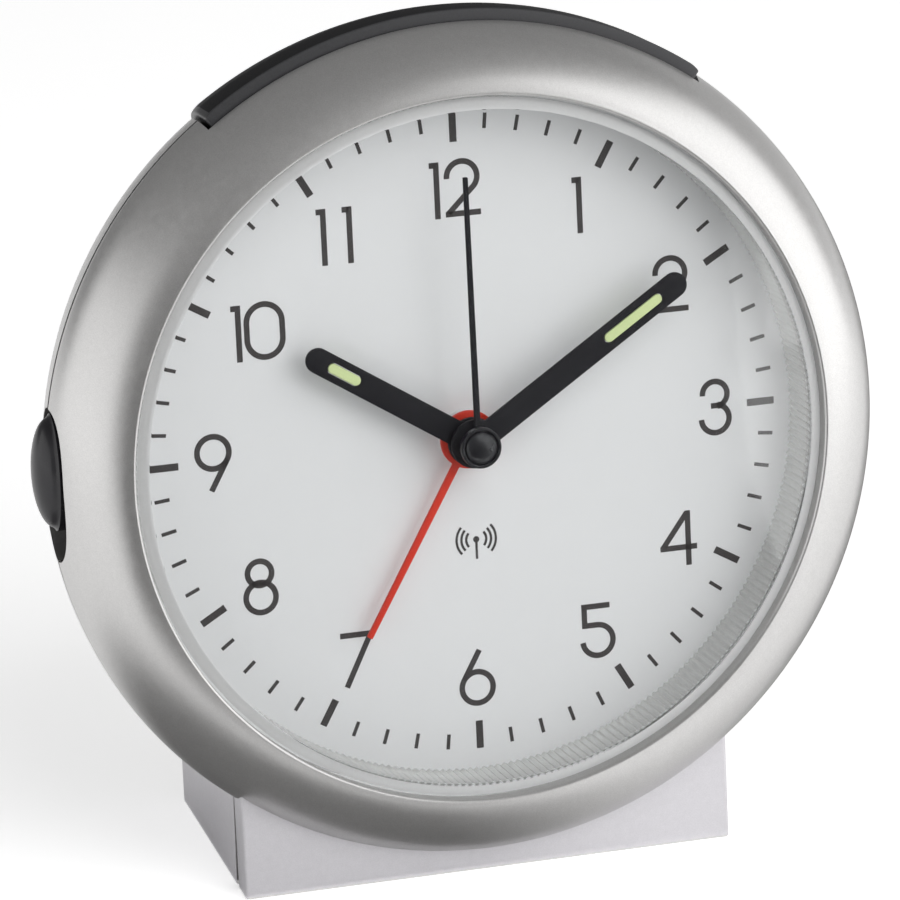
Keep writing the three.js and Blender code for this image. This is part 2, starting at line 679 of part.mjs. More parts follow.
function lumeStrip({ length, lumeLength, lumeFromTip }, grow, from, to) {
  const strip = new THREE.Shape();
  const half = LUME_WIDTH / 2;
  const end = length - lumeFromTip;
  strip.absarc(0, end - lumeLength + half, half + grow, Math.PI, 2 * Math.PI);
  strip.absarc(0, end - half, half + grow, 0, Math.PI);
  return thicken(strip, from, to, HOLLOW_STEPS);
}

function needle({ length, width }, hubR, tubeR, z) {
  const tip = width * POINT_SHARE;
  const blade = new THREE.Shape([
    new THREE.Vector2(-width / 2, 0),
    new THREE.Vector2(width / 2, 0),
    new THREE.Vector2(tip / 2, length),
    new THREE.Vector2(-tip / 2, length),
  ]);
  const hub = rod(hubR, z, z + HAND_WALL, undefined, ROUND_STEPS);
  return cut(join(thicken(blade, z, z + HAND_WALL), hub), rod(tubeR + PRESS_FIT, -FAR, FAR));
}

function secondHandCap() {
  const rimZ = capZ + CAP_RIM.height;
  const dome = fullnessArc(0, rimZ, CAP_R - CAP_RIM.width, CAP_HEIGHT - CAP_RIM.height, 2, HOLLOW_STEPS + 1);
  const cap = revolve([[0, capZ], [CAP_R, capZ], [CAP_R, rimZ], ...dome]);
  return cut(cap, rod(SECOND_ARBOR_R + PRESS_FIT, -FAR, capZ + CAP_HEIGHT / 2));
}

// Wheels

function gearOutline(teeth, module, phase) {
  const root = module * (teeth / 2 - DEDENDUM);
  const tip = module * (teeth / 2 + ADDENDUM);
  const halfPitch = Math.PI / teeth;
  const points = [];
  for (let tooth = 0; tooth < teeth; tooth += 1) {
    const middle = phase + 2 * halfPitch * tooth;
    points.push(polar(middle - ROOT_SHARE * halfPitch, root));
    points.push(polar(middle - TIP_SHARE * halfPitch, tip));
    points.push(polar(middle + TIP_SHARE * halfPitch, tip));
    points.push(polar(middle + ROOT_SHARE * halfPitch, root));
  }
  return new THREE.Shape(points);
}

const gear = (teeth, module, phase, layer) =>
  thicken(gearOutline(teeth, module, phase), layerBack(layer), layerFront(layer));

// Where the first tooth of a driven wheel points, so that it meets a driver's gap.
function meshPhase(driverTeeth, driverPhase, drivenTeeth, direction) {
  const onLine = ((direction - driverPhase) * driverTeeth) / (2 * Math.PI);
  const share = 0.5 - (onLine - Math.floor(onLine));
  return direction + Math.PI - (share * 2 * Math.PI) / drivenTeeth;
}

const arbor = (r, from = pivotBack, to = pivotFront) => rod(r, from, to);
const pivot = () => rod(ARBOR_R, pivotBack, pivotFront, undefined, PIVOT_STEPS);
const bore = (r) => rod(r, -FAR, FAR);

function secondWheel() {
  const wheel = gear(CENTRE_TEETH, TRAIN_MODULE, 0, LAYERS.second);
  return join(wheel, arbor(SECOND_ARBOR_R, pivotBack, capZ + CAP_HEIGHT / 3));
}

function minuteWheel() {
  const wheel = gear(CENTRE_TEETH, TRAIN_MODULE, 0, LAYERS.minute);
  const pinion = gear(CANNON_TEETH, MOTION_MODULE, 0, LAYERS.motion);
  const tube = arbor(minuteTubeOuter, layerBack(LAYERS.minute), handZ(MINUTE) + HAND_WALL);
  return cut(join(wheel, pinion, tube), bore(minuteTubeInner));
}

function motionWheel() {
  const phase = meshPhase(CANNON_TEETH, 0, MOTION_TEETH, MOTION_DIRECTION);
  const wheel = gear(MOTION_TEETH, MOTION_MODULE, phase, LAYERS.motion);
  const pinion = gear(MOTION_PINION_TEETH, hourModule, 0, LAYERS.hour);
  return join(wheel, pinion, pivot());
}

function hourWheel() {
  const phase = meshPhase(MOTION_PINION_TEETH, 0, HOUR_TEETH, MOTION_DIRECTION + Math.PI);
  const wheel = gear(HOUR_TEETH, hourModule, phase, LAYERS.hour);
  const tube = arbor(hourTubeOuter, layerBack(LAYERS.hour), handZ(HOUR) + HAND_WALL);
  return cut(join(wheel, tube), bore(hourTubeInner));
}

function alarmWheel() {
  const wheel = gear(ALARM_TEETH, ALARM_MODULE, 0, LAYERS.alarm);
  const tube = arbor(alarmTubeOuter, layerBack(LAYERS.alarm), handZ(ALARM) + HAND_WALL);
  return cut(join(wheel, tube), bore(alarmTubeInner));
}

function alarmArbor() {
  const phase = meshPhase(ALARM_TEETH, 0, ALARM_PINION_TEETH, ALARM_DIRECTION);
  const pinion = gear(ALARM_PINION_TEETH, ALARM_MODULE, phase, LAYERS.alarm);
  return join(pinion, arbor(ARBOR_KNOB_R, backZ + KNOB_SINK / 4, pivotFront));
}

function reductionWheel(direction, pinionLayer) {
  const phase = meshPhase(CENTRE_TEETH, 0, REDUCTION_PINION_TEETH, direction);
  const pinion = gear(REDUCTION_PINION_TEETH, TRAIN_MODULE, phase, pinionLayer);
  return join(gear(REDUCTION_TEETH, TRAIN_MODULE, 0, LAYERS.reduction), pinion, pivot());
}

function rotor(direction) {
  const phase = meshPhase(REDUCTION_TEETH, 0, ROTOR_TEETH, direction);
  const pinion = gear(ROTOR_TEETH, TRAIN_MODULE, phase, LAYERS.reduction);
  const magnet = rod(MAGNET_R, layerBack(LAYERS.second), layerFront(LAYERS.second));
  return join(pinion, magnet, pivot());
}

// Motors: iron round the rotor, with a coil on its core below the rotor

const statorMiddle = (layerFront(LAYERS.second) + layerBack(LAYERS.second)) / 2;
const statorHeights = around(statorMiddle, STATOR_WALL / 2);

function stator() {
  const ringR = MAGNET_R + AIR_GAP + STATOR_RING;
  const coreY = around(-COIL_OFFSET, STATOR_LEG / 2);
  const plate = block(around(0, STATOR_HALF_LENGTH), [coreY[0], 0], statorHeights);
  const legGap = STATOR_HALF_LENGTH - STATOR_LEG;
  const window = block(around(0, legGap), [coreY[1], -ringR + STATOR_LEG], [-FAR, FAR]);
  const ring = rod(ringR, ...statorHeights, undefined, ROUND_STEPS);
  return cut(join(cut(plate, window), ring), bore(MAGNET_R + AIR_GAP));
}

function coil() {
  const half = STATOR_HALF_LENGTH - STATOR_LEG - FIT;
  const core = STATOR_LEG / 2 + FIT / 2;
  const coreHeight = STATOR_WALL / 2 + FIT / 2;
  const winding = block(
    around(0, half),
    around(-COIL_OFFSET, core + COIL_WALL),
    around(statorMiddle, coreHeight + COIL_WALL),
  );
  const hole = block([-FAR, FAR], around(-COIL_OFFSET, core), around(statorMiddle, coreHeight));
  return cut(winding, hole);
}

// Movement case

const movementX = around(0, MOVEMENT_HALF_WIDTH);
const movementY = [MOVEMENT_BOTTOM, MOVEMENT_TOP];
const pivotsAt = [motionAt, secondsAt, minutesAt, secondsRotorAt, minutesRotorAt];
const pivotHoles = () => pivotsAt.map((at) => rod(ARBOR_R + RUN, -FAR, FAR, at, PIVOT_STEPS));

function movementFrontCase() {
  const plate = block(movementX, movementY, [caseInside, caseFront]);
  const bush = rod(bushOuter, caseInside, bushFront, undefined, ROUND_STEPS);
  const knobPivot = rod(ARBOR_KNOB_R + RUN, -FAR, FAR, knobAt);
  return cut(join(plate, bush), bore(bushInner), knobPivot, ...pivotHoles());
}

function movementRearCase() {
  const rim = caseInside - FIT;
  const inner = (pair) => [pair[0] + PLATE, pair[1] - PLATE];
  const shell = block(movementX, movementY, [caseBack, rim]);
  const room = block(inner(movementX), inner(movementY), [caseRearInside, FAR]);
  const knobHole = rod(ARBOR_KNOB_R + RUN, -FAR, FAR, knobAt);
  return cut(shell, room, bore(SECOND_ARBOR_R + RUN), knobHole, ...pivotHoles());
}

// Snooze bar and switch

const plungerZ = around(SEAM_Z - PLUNGER_DEPTH, PLUNGER_SIZE / 2);

function snoozeBar() {
  const arc = barRing(0, 0).intersect(wedge(TOP, BAR_HALF_ANGLE));
  const plungerY = [plungerEndY, barUnderY + BAR_SINK / 2];
  return join(arc, block(around(0, PLUNGER_SIZE / 2), plungerY, plungerZ));
}

function snoozeSwitch() {
  const half = SNOOZE_SWITCH.width / 2;
  const body = [snoozeSwitchY, snoozeSwitchY + SNOOZE_SWITCH.height * KEY_SHARE];
  const key = [snoozeSwitchY, snoozeSwitchY + SNOOZE_SWITCH.height];
  const middle = SEAM_Z - PLUNGER_DEPTH;
  return join(
    block(around(0, half), body, around(middle, half)),
    block(around(0, half / 2), key, around(middle, half / 2)),
  );
}

// Alarm slider, its track and its switch

const stemZ = around(SEAM_Z - STEM.depth, STEM.width / 2);

function alarmSlider() {
  const shoulderX = frameR - SLIDER_SHOULDER;
  const oval = new THREE.Shape();
  oval.absellipse(SEAM_Z, sliderRestY, SLIDER_WIDTH / 2, SLIDER_LENGTH / 2, 0, 2 * Math.PI);
  const sides = thickenAlongX(oval, -shoulderX, -sliderBaseX);
  const dome = new THREE.SphereGeometry(1, 2 * SMALL_STEPS, SMALL_STEPS);
  dome.scale(SLIDER_PROUD + SLIDER_SHOULDER, SLIDER_LENGTH / 2, SLIDER_WIDTH / 2);
  const cap = solid(dome.translate(-shoulderX, sliderRestY, SEAM_Z));
  const outer = block([-FAR, -sliderBaseX], [-FAR, FAR], [-FAR, FAR]);
  const stem = block([-sliderBaseX - FIT, -trackInnerR + RUN], around(sliderRestY, STEM.length / 2), stemZ);
  return join(sides, cap.intersect(outer), stem);
}

function sliderTrack() {
  const slotHalf = (STEM.length + SLIDER_TRAVEL) / 2 + FIT;
  const slotZ = around(SEAM_Z - STEM.depth, STEM.width / 2 + RUN);
  const slot = block([-FAR, 0], around(SLIDER_Y, slotHalf), slotZ);
  return cut(trackArc(0), slot);
}

function slideSwitch() {
  const reach = SLIDE_SWITCH.length / 2 + Math.abs(SLIDER_Y);
  const sagitta = trackInnerR - Math.sqrt(trackInnerR ** 2 - reach ** 2);
  const outerX = -(trackInnerR - sagitta - FIT);
  const front = ledgeZ - LEDGE_WALL / 2;
  return block(
    [outerX, outerX + SLIDE_SWITCH.width],
    around(SLIDER_Y, SLIDE_SWITCH.length / 2),
    [front - SLIDE_SWITCH.height, front],
  );
}

// Pieces on the back

function alarmKnob() {
  const outline = new THREE.Shape();
  for (let index = 0; index < 2 * KNOB_FLUTES; index += 1) {
    const at = polar((index * Math.PI) / KNOB_FLUTES, KNOB_R - (index % 2) * KNOB_FLUTE_DEPTH);
    if (index === 0) outline.moveTo(at.x, at.y);
    else outline.lineTo(at.x, at.y);
  }
  const floor = backZ + KNOB_SINK - FIT;
  const knob = thicken(outline, floor - KNOB_HEIGHT, floor);
  return cut(knob, rod(ARBOR_KNOB_R + PRESS_FIT, backZ + KNOB_SINK / 4 - FIT, FAR));
}

function button() {
  const cap = rod(BUTTON_R, backZ - BUTTON_PROUD, innerBackZ + FIT);
  const flangeFrom = innerBackZ + FIT;
  const flangeTo = flangeFrom + BUTTON_FLANGE.height;
  const flange = rod(BUTTON_R + BUTTON_FLANGE.reach, flangeFrom, flangeTo);
  return join(cap, flange, rod(BUTTON_STEM_R, flangeFrom, buttonEnd));
}

function buttonSwitch() {
  const half = BUTTON_SWITCH.width / 2;
  const front = boardBack - FIT;
  const body = block(around(0, half), around(0, half), [front - BUTTON_SWITCH.height * KEY_SHARE, front]);
  return join(body, rod(BUTTON_STEM_R, buttonSwitchBack, front));
}

const circuitBoard = () =>
  block(around(BUTTON_X, BOARD.width / 2), around(BUTTON_Y, BOARD.height / 2), [boardBack, boardFront]);

const boardTop = BUTTON_Y + BOARD.height / 2 - BOARD_MARGIN;
const boardLeft = BUTTON_X - BOARD.width / 2 + BOARD_MARGIN;
const boardRight = BUTTON_X + BOARD.width / 2 - BOARD_MARGIN;

const receiverChip = () =>
  block(
    [boardLeft, boardLeft + CHIP.size],
    [boardTop - CHIP.size, boardTop],
    [boardBack - FIT - CHIP.height, boardBack - FIT],
  );

function quartzCan() {
  const z = boardBack - FIT - QUARTZ.r;
  return rodAlongX(QUARTZ.r, boardRight - QUARTZ.length, boardRight, boardTop - QUARTZ.r, z);
}

function buzzer() {
  const seat = innerBackZ + FIT;
  return rod(BUZZER.r, seat, seat + BUZZER.height, new THREE.Vector2(BUZZER.x, BUZZER.y), ROUND_STEPS);
}

// Cell: the nub touches the contact plate on the right, the spring presses from the left

const contactX = trayHalfLength - FIT - CONTACT_WALL;
const nubX = contactX - FIT;
const shoulderX = nubX - CELL_NUB.length;
const cellEndX = shoulderX - CELL_LENGTH;

function cell() {
  const body = rodAlongX(CELL_R, cellEndX, shoulderX, cellY, cellZ, ROUND_STEPS);
  return join(body, rodAlongX(CELL_NUB.r, shoulderX - FIT, nubX, cellY, cellZ));
}

const cellContact = () =>
  block(
    [contactX, contactX + CONTACT_WALL],
    around(cellY, CONTACT_SIZE / 2),
    around(cellZ, CONTACT_SIZE / 2),
  );

class ConeHelix extends THREE.Curve {
  getPoint(share, target = new THREE.Vector3()) {
    const turn = share * SPRING.turns * 2 * Math.PI;
    const r = SPRING.r + (SPRING.tipR - SPRING.r) * share;
    const x = SPRING.wireR + share * (SPRING.length - 2 * SPRING.wireR);
    return target.set(x, r * Math.cos(turn), r * Math.sin(turn));
  }
}

function cellSpring() {
  const wire = new THREE.Shape(CURL_SIDES.map((side) => polar(side, SPRING.wireR)));
  const options = { steps: SPRING.turns * CURL_STEPS, extrudePath: new ConeHelix(), bevelEnabled: false };
  const geometry = new THREE.ExtrudeGeometry(wire, options);
  return solid(geometry.translate(cellEndX - FIT - SPRING.length, cellY, cellZ));
}

function cellCover() {
  const plate = block(
    around(0, coverHalfLength),
    around(cellY, coverHalfWidth),
    [backZ, coverInnerZ],
  );
  const ribs = Array.from({ length: COVER_RIBS }, (unused, index) => {
    const y = cellY + (index - (COVER_RIBS - 1) / 2) * COVER_RIB.pitch;
    const x = around(0, COVER_RIB.length / 2);
    return block(x, around(y, COVER_RIB.width / 2), [backZ - COVER_RIB.height, backZ + COVER_WALL / 2]);
  });
  return join(plate, ...ribs);
}

// Aerial

const aerialRod = () => rodAlongX(ROD_R, -ROD_LENGTH / 2, ROD_LENGTH / 2, aerialY, ROD_Z);

function aerialWinding() {
  const half = WINDING.length / 2;
  const hole = rodAlongX(ROD_R + FIT, -FAR, FAR, aerialY, ROD_Z, ROUND_STEPS);
  return cut(rodAlongX(windingR, -half, half, aerialY, ROD_Z, ROUND_STEPS), hole);
}

function housingScrew() {
  const seat = SEAM_Z - SCREW_SEAT_DEPTH - FIT;
  const head = rod(SCREW_HEAD.r, seat - SCREW_HEAD.height, seat, undefined, PIVOT_STEPS);
  return join(head, rod(SCREW_R, seat, frameBack + SCREW_REACH, undefined, PIVOT_STEPS));
}

// Assembly

const clock = new THREE.Group();
const body = new THREE.Group();
body.rotation.x = Math.PI / 2 - TILT;
body.position.set(0, dialForward, dialHeight);
clock.add(body);

function place(name, made, material, at = new THREE.Vector2()) {
  const mesh = new THREE.Mesh(surface(made), material);
  mesh.name = name;
  mesh.position.set(at.x, at.y, 0);
  body.add(mesh);
  return mesh;
}

// A hand's angle counts clockwise from twelve, as on the dial.
function placeHand(name, made, material, hand) {
  place(name, made, material).rotation.z = -radians(hand.angle);
}

place("front_frame", frontFrame(), silverPaint);
place("rear_housing", rearHousing(), silverPaint);
place("crystal", crystal(), clearPlastic);
place("dial", dial(), dialPaint);

const alarmNeedle = needle(ALARM_HAND, ALARM_HAND.discR, alarmTubeOuter, handZ(ALARM));
const secondNeedle = needle(SECOND_HAND, SECOND_HAND.hubR, SECOND_ARBOR_R, handZ(SECOND));
const lume = (hand, z) => lumeStrip(hand, 0, z, z + HAND_WALL);
placeHand("alarm_hand", alarmNeedle, handRed, ALARM_HAND);
placeHand("hour_hand", baton(HOUR_HAND, hourTubeOuter, handZ(HOUR)), handBlack, HOUR_HAND);
placeHand("minute_hand", baton(MINUTE_HAND, minuteTubeOuter, handZ(MINUTE)), handBlack, MINUTE_HAND);
placeHand("second_hand", secondNeedle, handBlack, SECOND_HAND);
place("second_hand_cap", secondHandCap(), glossBlack);
placeHand("hour_hand_lume", lume(HOUR_HAND, handZ(HOUR)), lumePaint, HOUR_HAND);
placeHand("minute_hand_lume", lume(MINUTE_HAND, handZ(MINUTE)), lumePaint, MINUTE_HAND);

place("second_wheel", secondWheel(), steel);
place("minute_wheel", minuteWheel(), whiteNylon);
place("motion_wheel", motionWheel(), whiteNylon, motionAt);
place("hour_wheel", hourWheel(), whiteNylon);
place("alarm_wheel", alarmWheel(), whiteNylon);
place("alarm_arbor", alarmArbor(), whiteNylon, knobAt);
place("seconds_reduction_wheel", reductionWheel(SECONDS_DIRECTION, LAYERS.second), whiteNylon, secondsAt);
place("minutes_reduction_wheel", reductionWheel(MINUTES_DIRECTION, LAYERS.minute), whiteNylon, minutesAt);
place("seconds_rotor", rotor(SECONDS_ROTOR_DIRECTION), magnetGrey, secondsRotorAt);
place("minutes_rotor", rotor(MINUTES_ROTOR_DIRECTION), magnetGrey, minutesRotorAt);
place("seconds_stator", stator(), steel, secondsRotorAt);
place("seconds_coil", coil(), copper, secondsRotorAt);
place("minutes_stator", stator(), steel, minutesRotorAt).rotation.z = Math.PI / 2;
place("minutes_coil", coil(), copper, minutesRotorAt).rotation.z = Math.PI / 2;
place("movement_front_case", movementFrontCase(), caseGrey);
place("movement_rear_case", movementRearCase(), caseGrey);

place("snooze_bar", snoozeBar(), blackPlastic);
place("snooze_switch", snoozeSwitch(), blackPlastic);
place("alarm_slider", alarmSlider(), glossBlack);
place("slider_track", sliderTrack(), blackPlastic);
place("slide_switch", slideSwitch(), steel);

place("alarm_knob", alarmKnob(), blackPlastic, knobAt);
BUTTON_NAMES.forEach((name, index) => {
  const at = new THREE.Vector2(buttonX(index), BUTTON_Y);
  place(name, button(), blackPlastic, at);
  place(name + "_switch", buttonSwitch(), chipBlack, at);
});
place("circuit_board", circuitBoard(), boardGreen);
place("receiver_chip", receiverChip(), chipBlack);
place("quartz_can", quartzCan(), steel);
place("buzzer", buzzer(), brass);
place("battery", cell(), cellWrap);
place("battery_contact", cellContact(), steel);
place("battery_spring", cellSpring(), steel);
place("battery_cover", cellCover(), silverPaint);
place("aerial_rod", aerialRod(), ferrite);
place("aerial_winding", aerialWinding(), copper);
SCREW_ANGLES.forEach((angle, index) => {
  place("housing_screw_" + (index + 1), housingScrew(), steel, polar(angle, screwCircle));
});

export default clock;
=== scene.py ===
"""Looks of a round table alarm clock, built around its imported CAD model.

Shapes are drawn in the frame of the dial, in millimetres: x to the right, y up along the dial and z towards
the viewer, with the dial's face at z = 0. DIAL turns that frame into the metres of the shared frame.
"""

import json
from math import asin, atan2, copysign, cos, degrees, dist, pi, radians, sin, tan

import bmesh
import bpy
from mathutils import Matrix, Vector


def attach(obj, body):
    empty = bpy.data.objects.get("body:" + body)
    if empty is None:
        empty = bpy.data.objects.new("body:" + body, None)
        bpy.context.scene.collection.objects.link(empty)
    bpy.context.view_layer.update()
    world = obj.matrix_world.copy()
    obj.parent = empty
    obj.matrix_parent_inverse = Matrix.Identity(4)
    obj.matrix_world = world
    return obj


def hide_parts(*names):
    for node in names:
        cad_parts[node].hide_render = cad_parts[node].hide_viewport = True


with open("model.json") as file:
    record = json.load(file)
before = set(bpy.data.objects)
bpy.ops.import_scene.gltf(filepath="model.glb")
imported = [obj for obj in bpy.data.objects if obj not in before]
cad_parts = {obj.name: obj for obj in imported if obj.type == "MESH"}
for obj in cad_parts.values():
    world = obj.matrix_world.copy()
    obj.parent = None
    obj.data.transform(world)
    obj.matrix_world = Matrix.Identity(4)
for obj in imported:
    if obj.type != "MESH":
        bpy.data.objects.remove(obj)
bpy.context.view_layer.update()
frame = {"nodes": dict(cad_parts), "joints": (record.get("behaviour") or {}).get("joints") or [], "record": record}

# The frame of the dial
MM = 0.001
centre_joint = next(joint for joint in frame["joints"] if joint["name"] == "second_hand_spin")
DIAL_CENTRE = Vector(centre_joint["pos_m"])
DIAL_X = Vector((1, 0, 0))
DIAL_Z = -Vector(centre_joint["axis"])
DIAL_Y = DIAL_Z.cross(DIAL_X)
DIAL_AXES = Matrix((DIAL_X, DIAL_Y, DIAL_Z)).transposed().to_4x4()
DIAL = Matrix.Translation(DIAL_CENTRE) @ DIAL_AXES @ Matrix.Scale(MM, 4)
TO_DIAL = DIAL.inverted()


def dial_box(node):
    """Lowest and highest corner of a CAD node in the frame of the dial."""
    corners = [TO_DIAL @ vertex.co for vertex in frame["nodes"][node].data.vertices]
    low = Vector([min(values) for values in zip(*corners)])
    high = Vector([max(values) for values in zip(*corners)])
    return low, high


def dial_middle(node):
    low, high = dial_box(node)
    return (low + high) / 2


def pointing(node):
    """Direction in which a hand of the CAD model points, anticlockwise from the right."""
    corners = [(TO_DIAL @ vertex.co).xy for vertex in frame["nodes"][node].data.vertices]
    reach = max(corner.length for corner in corners)
    tip = sum((corner for corner in corners if corner.length > TIP_SHARE * reach), Vector((0, 0)))
    return atan2(tip.y, tip.x)


# Sizes taken from the frame
ring_low, ring_high = dial_box("front_frame")
rear_low, rear_high = dial_box("rear_housing")
crystal_low, crystal_high = dial_box("crystal")
dial_low, dial_high = dial_box("dial")
bar_low, bar_high = dial_box("snooze_bar")
slider_low, slider_high = dial_box("alarm_slider")
track_low, track_high = dial_box("slider_track")
knob_low, knob_high = dial_box("alarm_knob")
cap_low, cap_high = dial_box("second_hand_cap")
cover_low, cover_high = dial_box("battery_cover")
cell_low, cell_high = dial_box("battery")

RIM_R = ring_high.x
LIP_Z = ring_high.z
FRAME_BACK = ring_low.z
REAR_FRONT = rear_high.z
BACK_Z = rear_low.z
SEAM_Z = (FRAME_BACK + REAR_FRONT) / 2
SHOULDER_R = crystal_high.x
LENS_Z = crystal_high.z
SLIDER_Y = (track_low.y + track_high.y) / 2
SLIDER_HALF_LENGTH = (slider_high.y - slider_low.y) / 2
SLIDER_HALF_WIDTH = (slider_high.z - slider_low.z) / 2

# Shells
WALL = 2.0
WINDOW_R = 45.75
RING_FULLNESS = 1.8
EDGE_ROUND = 0.4  # thin bright edge round the window
SEAM_STEP = 0.08  # by which the rear shell is smaller than the ring
REAR_R = RIM_R - SEAM_STEP
SEAM_ROUND = 0.1
SEAM_OPEN = 0.3  # the rear shell's edge stands that much back, so that the seam shows
# sizes of a dark strip sunk in the seam, painted shade in the gap between the shells
SHADE_STRIP_DEPTH = 0.4
SHADE_STRIP_WIDTH = 1.0
LIP_WALL = 2.0
CRYSTAL_GAP = 0.3
SKIRT_WALL = 1.0
SKIRT_INNER_R = SHOULDER_R + CRYSTAL_GAP
SKIRT_OUTER_R = SKIRT_INNER_R + SKIRT_WALL
BACK_FLAT_R = 32.0
BOWL_FULLNESS = 1.7
FOOT_HALF = 32.9
FOOT_FRONT_Z = 3.4
FOOT_TOP_Y = -24.0
FOOT_ROUND = 0.35
FOOT_FLAT = {"front": 0.9, "side": 0.3}  # least and most slant of the faces with the flatter paint
FOOT_SEAM_OPEN = 0.7  # the side seam of the foot opens downwards
FOOT_SEAM_TOP_Y = -40.0
SEAM_EDGE = 0.12
MOUTH = 0.35  # chamfer round the openings on the back

# Crystal and dial
LENS_R = WINDOW_R - CRYSTAL_GAP
LENS_WALL = 1.2
LENS_BEVEL = 1.45  # the frosted slope round the lens
LENS_BEVEL_DROP = 0.8
LENS_EDGE = 0.1  # rounding between the flat lens and its slope
SHOULDER_Z = LIP_Z - LIP_WALL - CRYSTAL_GAP
RIB_COUNT = 300
RIB_WALL = 2.0
RIB_R = SHOULDER_R - RIB_WALL
RIB_DEPTH = 0.3
RIB_TOP = 0.8  # the ribs run out below the lens
RIB_WAVE = (0.0, 0.25, 0.75, 1.0, 0.75, 0.25)
DIAL_HOLE_R = 3.5  # inside the bush, so that no gap shows round it
PRINT_LOW = -0.01
PRINT_HIGH = 0.02
PRINT_SHIFT = (0.22, 0.24)  # the print lies a little off the axis of the hands
HOUR_MARK = {"inner": 38.2, "outer": 41.9, "width": 0.95}
MINUTE_MARK = {"inner": 39.8, "outer": 41.8, "width": 0.48}
DIGIT_STROKE = 0.75
MITRE_LEAST = 0.5  # keeps the sharp corners of the print short

# Hands
HAND_HALF = 1.65
HAND_HUB_R = 3.2
HOUR_BATON = {"length": 25.2, "lume": (17.2, 22.0), "bore": 1.6}
MINUTE_BATON = {"length": 34.5, "lume": (21.4, 30.6), "bore": 0.95}
LUME_HALF = 0.65
LUME_GAP = 0.1
LUME_SINK = 0.02
ALARM_NEEDLE = {"length": 28.6, "width": 1.0, "hub": 3.8, "bore": 2.35}
SECOND_NEEDLE = {"length": 34.9, "width": 0.8, "hub": 2.0, "bore": 0.7}
NEEDLE_TAPER = 0.75
HAND_ROUND = 0.12
CAP_RIM = {"width": 0.5, "height": 0.9, "round": 0.1}
CAP_GROOVE = {"width": 0.1, "depth": 0.3}

# Snooze bar and slider
BAR_HALF_ANGLE = radians(36)
BAR_PROUD = 0.88
BAR_FRONT_PROUD = 0.75
BAR_SINK = 2.6
BAR_GAP = 0.4
BAR_TRAVEL = 0.7
BAR_ROUND = 0.2
BAR_END = {"length": 1.6, "drop": 0.3}  # the top slopes down to each end
BAR_TOP_FACING = 0.2  # how far up a face looks, at least, to count as the top
PLUNGER = {"half": 2.0, "depth": 7.6, "length": 2.2}
SLIDER_SIDE_GAP = 0.8
SLIDER_TRAVEL = 3.4
SLIDER_END_GAP = 0.65
OPENING_FULLNESS = 2.6
SLIDER_SHOULDER = 0.9
SLIDER_EDGE = 0.12
SLIDER_LIFT = 0.25
SLIDER_TIP_SHARE = 0.002
STEM = {"half_width": 0.9, "half_length": 1.5, "depth": 2.6, "overlap": 0.3, "short": 1.0, "gap": 0.25}
SLOT_HALF_LENGTH = 3.5
TRACK_WALL = 1.0

# Back
KNOB_AT = ((knob_low + knob_high) / 2).xy
KNOB_R = (knob_high.x - knob_low.x) / 2
KNOB_FLUTES = 24
KNOB_FLUTE_DEPTH = 0.5
KNOB_CHAMFER = 0.5
KNOB_DISH = {"margin": 2.0, "depth": 0.4}
KNOB_GAP = 1.2
KNOB_POCKET_DEPTH = 3.4
POCKET_WALL = 1.4
BUTTONS = ("set_button", "receive_button", "reset_button")
BUTTON_R = 2.6
BUTTON_GAP = 0.25
BUTTON_EDGE = 0.3
BUTTON_DISH = {"share": 0.85, "depth": 0.25, "steps": (0, 0.35, 0.7, 1)}
BUTTON_FLANGE = {"gap": 0.3, "height": 1.0}
BUTTON_STEM_R = 1.2
SOUND_SLOT = {"count": 5, "x": 20.0, "y": -4.0, "half_length": 6.0, "half_width": 0.7, "pitch": 2.6}
COVER_Y = (cover_low.y + cover_high.y) / 2
COVER_HALF = ((cover_high.x - cover_low.x) / 2, (cover_high.y - cover_low.y) / 2)
COVER_RIB = {"count": 5, "half_length": 6.0, "half_width": 0.5, "pitch": 2.2, "sink": 0.6, "round": 0.15}
COVER_CORNER = 1.6
COVER_ROUND = 0.25
COVER_GAP = 0.3
TRAY_INSET = 0.7
TRAY_WALL = 2.2
SCREWS = ("housing_screw_1", "housing_screw_2", "housing_screw_3", "housing_screw_4")
SCREW = {"head_r": 1.9, "head": 1.5, "crown": 0.35, "thread_r": 1.0, "gap": 0.3}
SCREW_HOLE_R = 1.3
SCREW_SEAT_Z = -7.0
SCREW_BOSS_R = 2.7
CROWN_STEPS = (0, 0.4, 0.7, 0.9, 1)
CROSS_HALF = (1.2, 0.25)
CROSS_DEPTH = 0.8
CELL = {"nub": 1.2, "nub_r": 2.6, "nub_round": 0.3, "roll": 0.6, "gap": 0.4}
SPRING_TURNS = 3
SPRING_WIRE_R = 0.35
SPRING_R = 4.0
SPRING_TIP_R = 2.6

# Fineness of the meshes
RING_STEPS = 384
TURNED_STEPS = 96
SMALL_STEPS = 40
FACE_STEPS = 40
HOLLOW_STEPS = 8
ARC_STEPS = 160
CURVE_STEPS = 12
FLUTE_STEPS = 8
COIL_STEPS = 32
CORNER_STEPS = 6
PRINT_STEPS = 20
BATON_HUB_STEPS = 48
NEEDLE_HUB_STEPS = 56
TIP_STEPS = 24
ROUND_SEGMENTS = 3
SMOOTH_BELOW = radians(32)
TINY = 0.01
FAR = 120.0
PAST = 1.0  # how far a cutter goes past what it cuts
APART = 0.1  # keeps the faces of joined solids out of one plane
ROUND_END = 0.98  # share of a slot's half width that its round ends take
TIP_SHARE = 0.8  # the outer part of a hand, which tells where it points


# Working solids, in dial millimetres

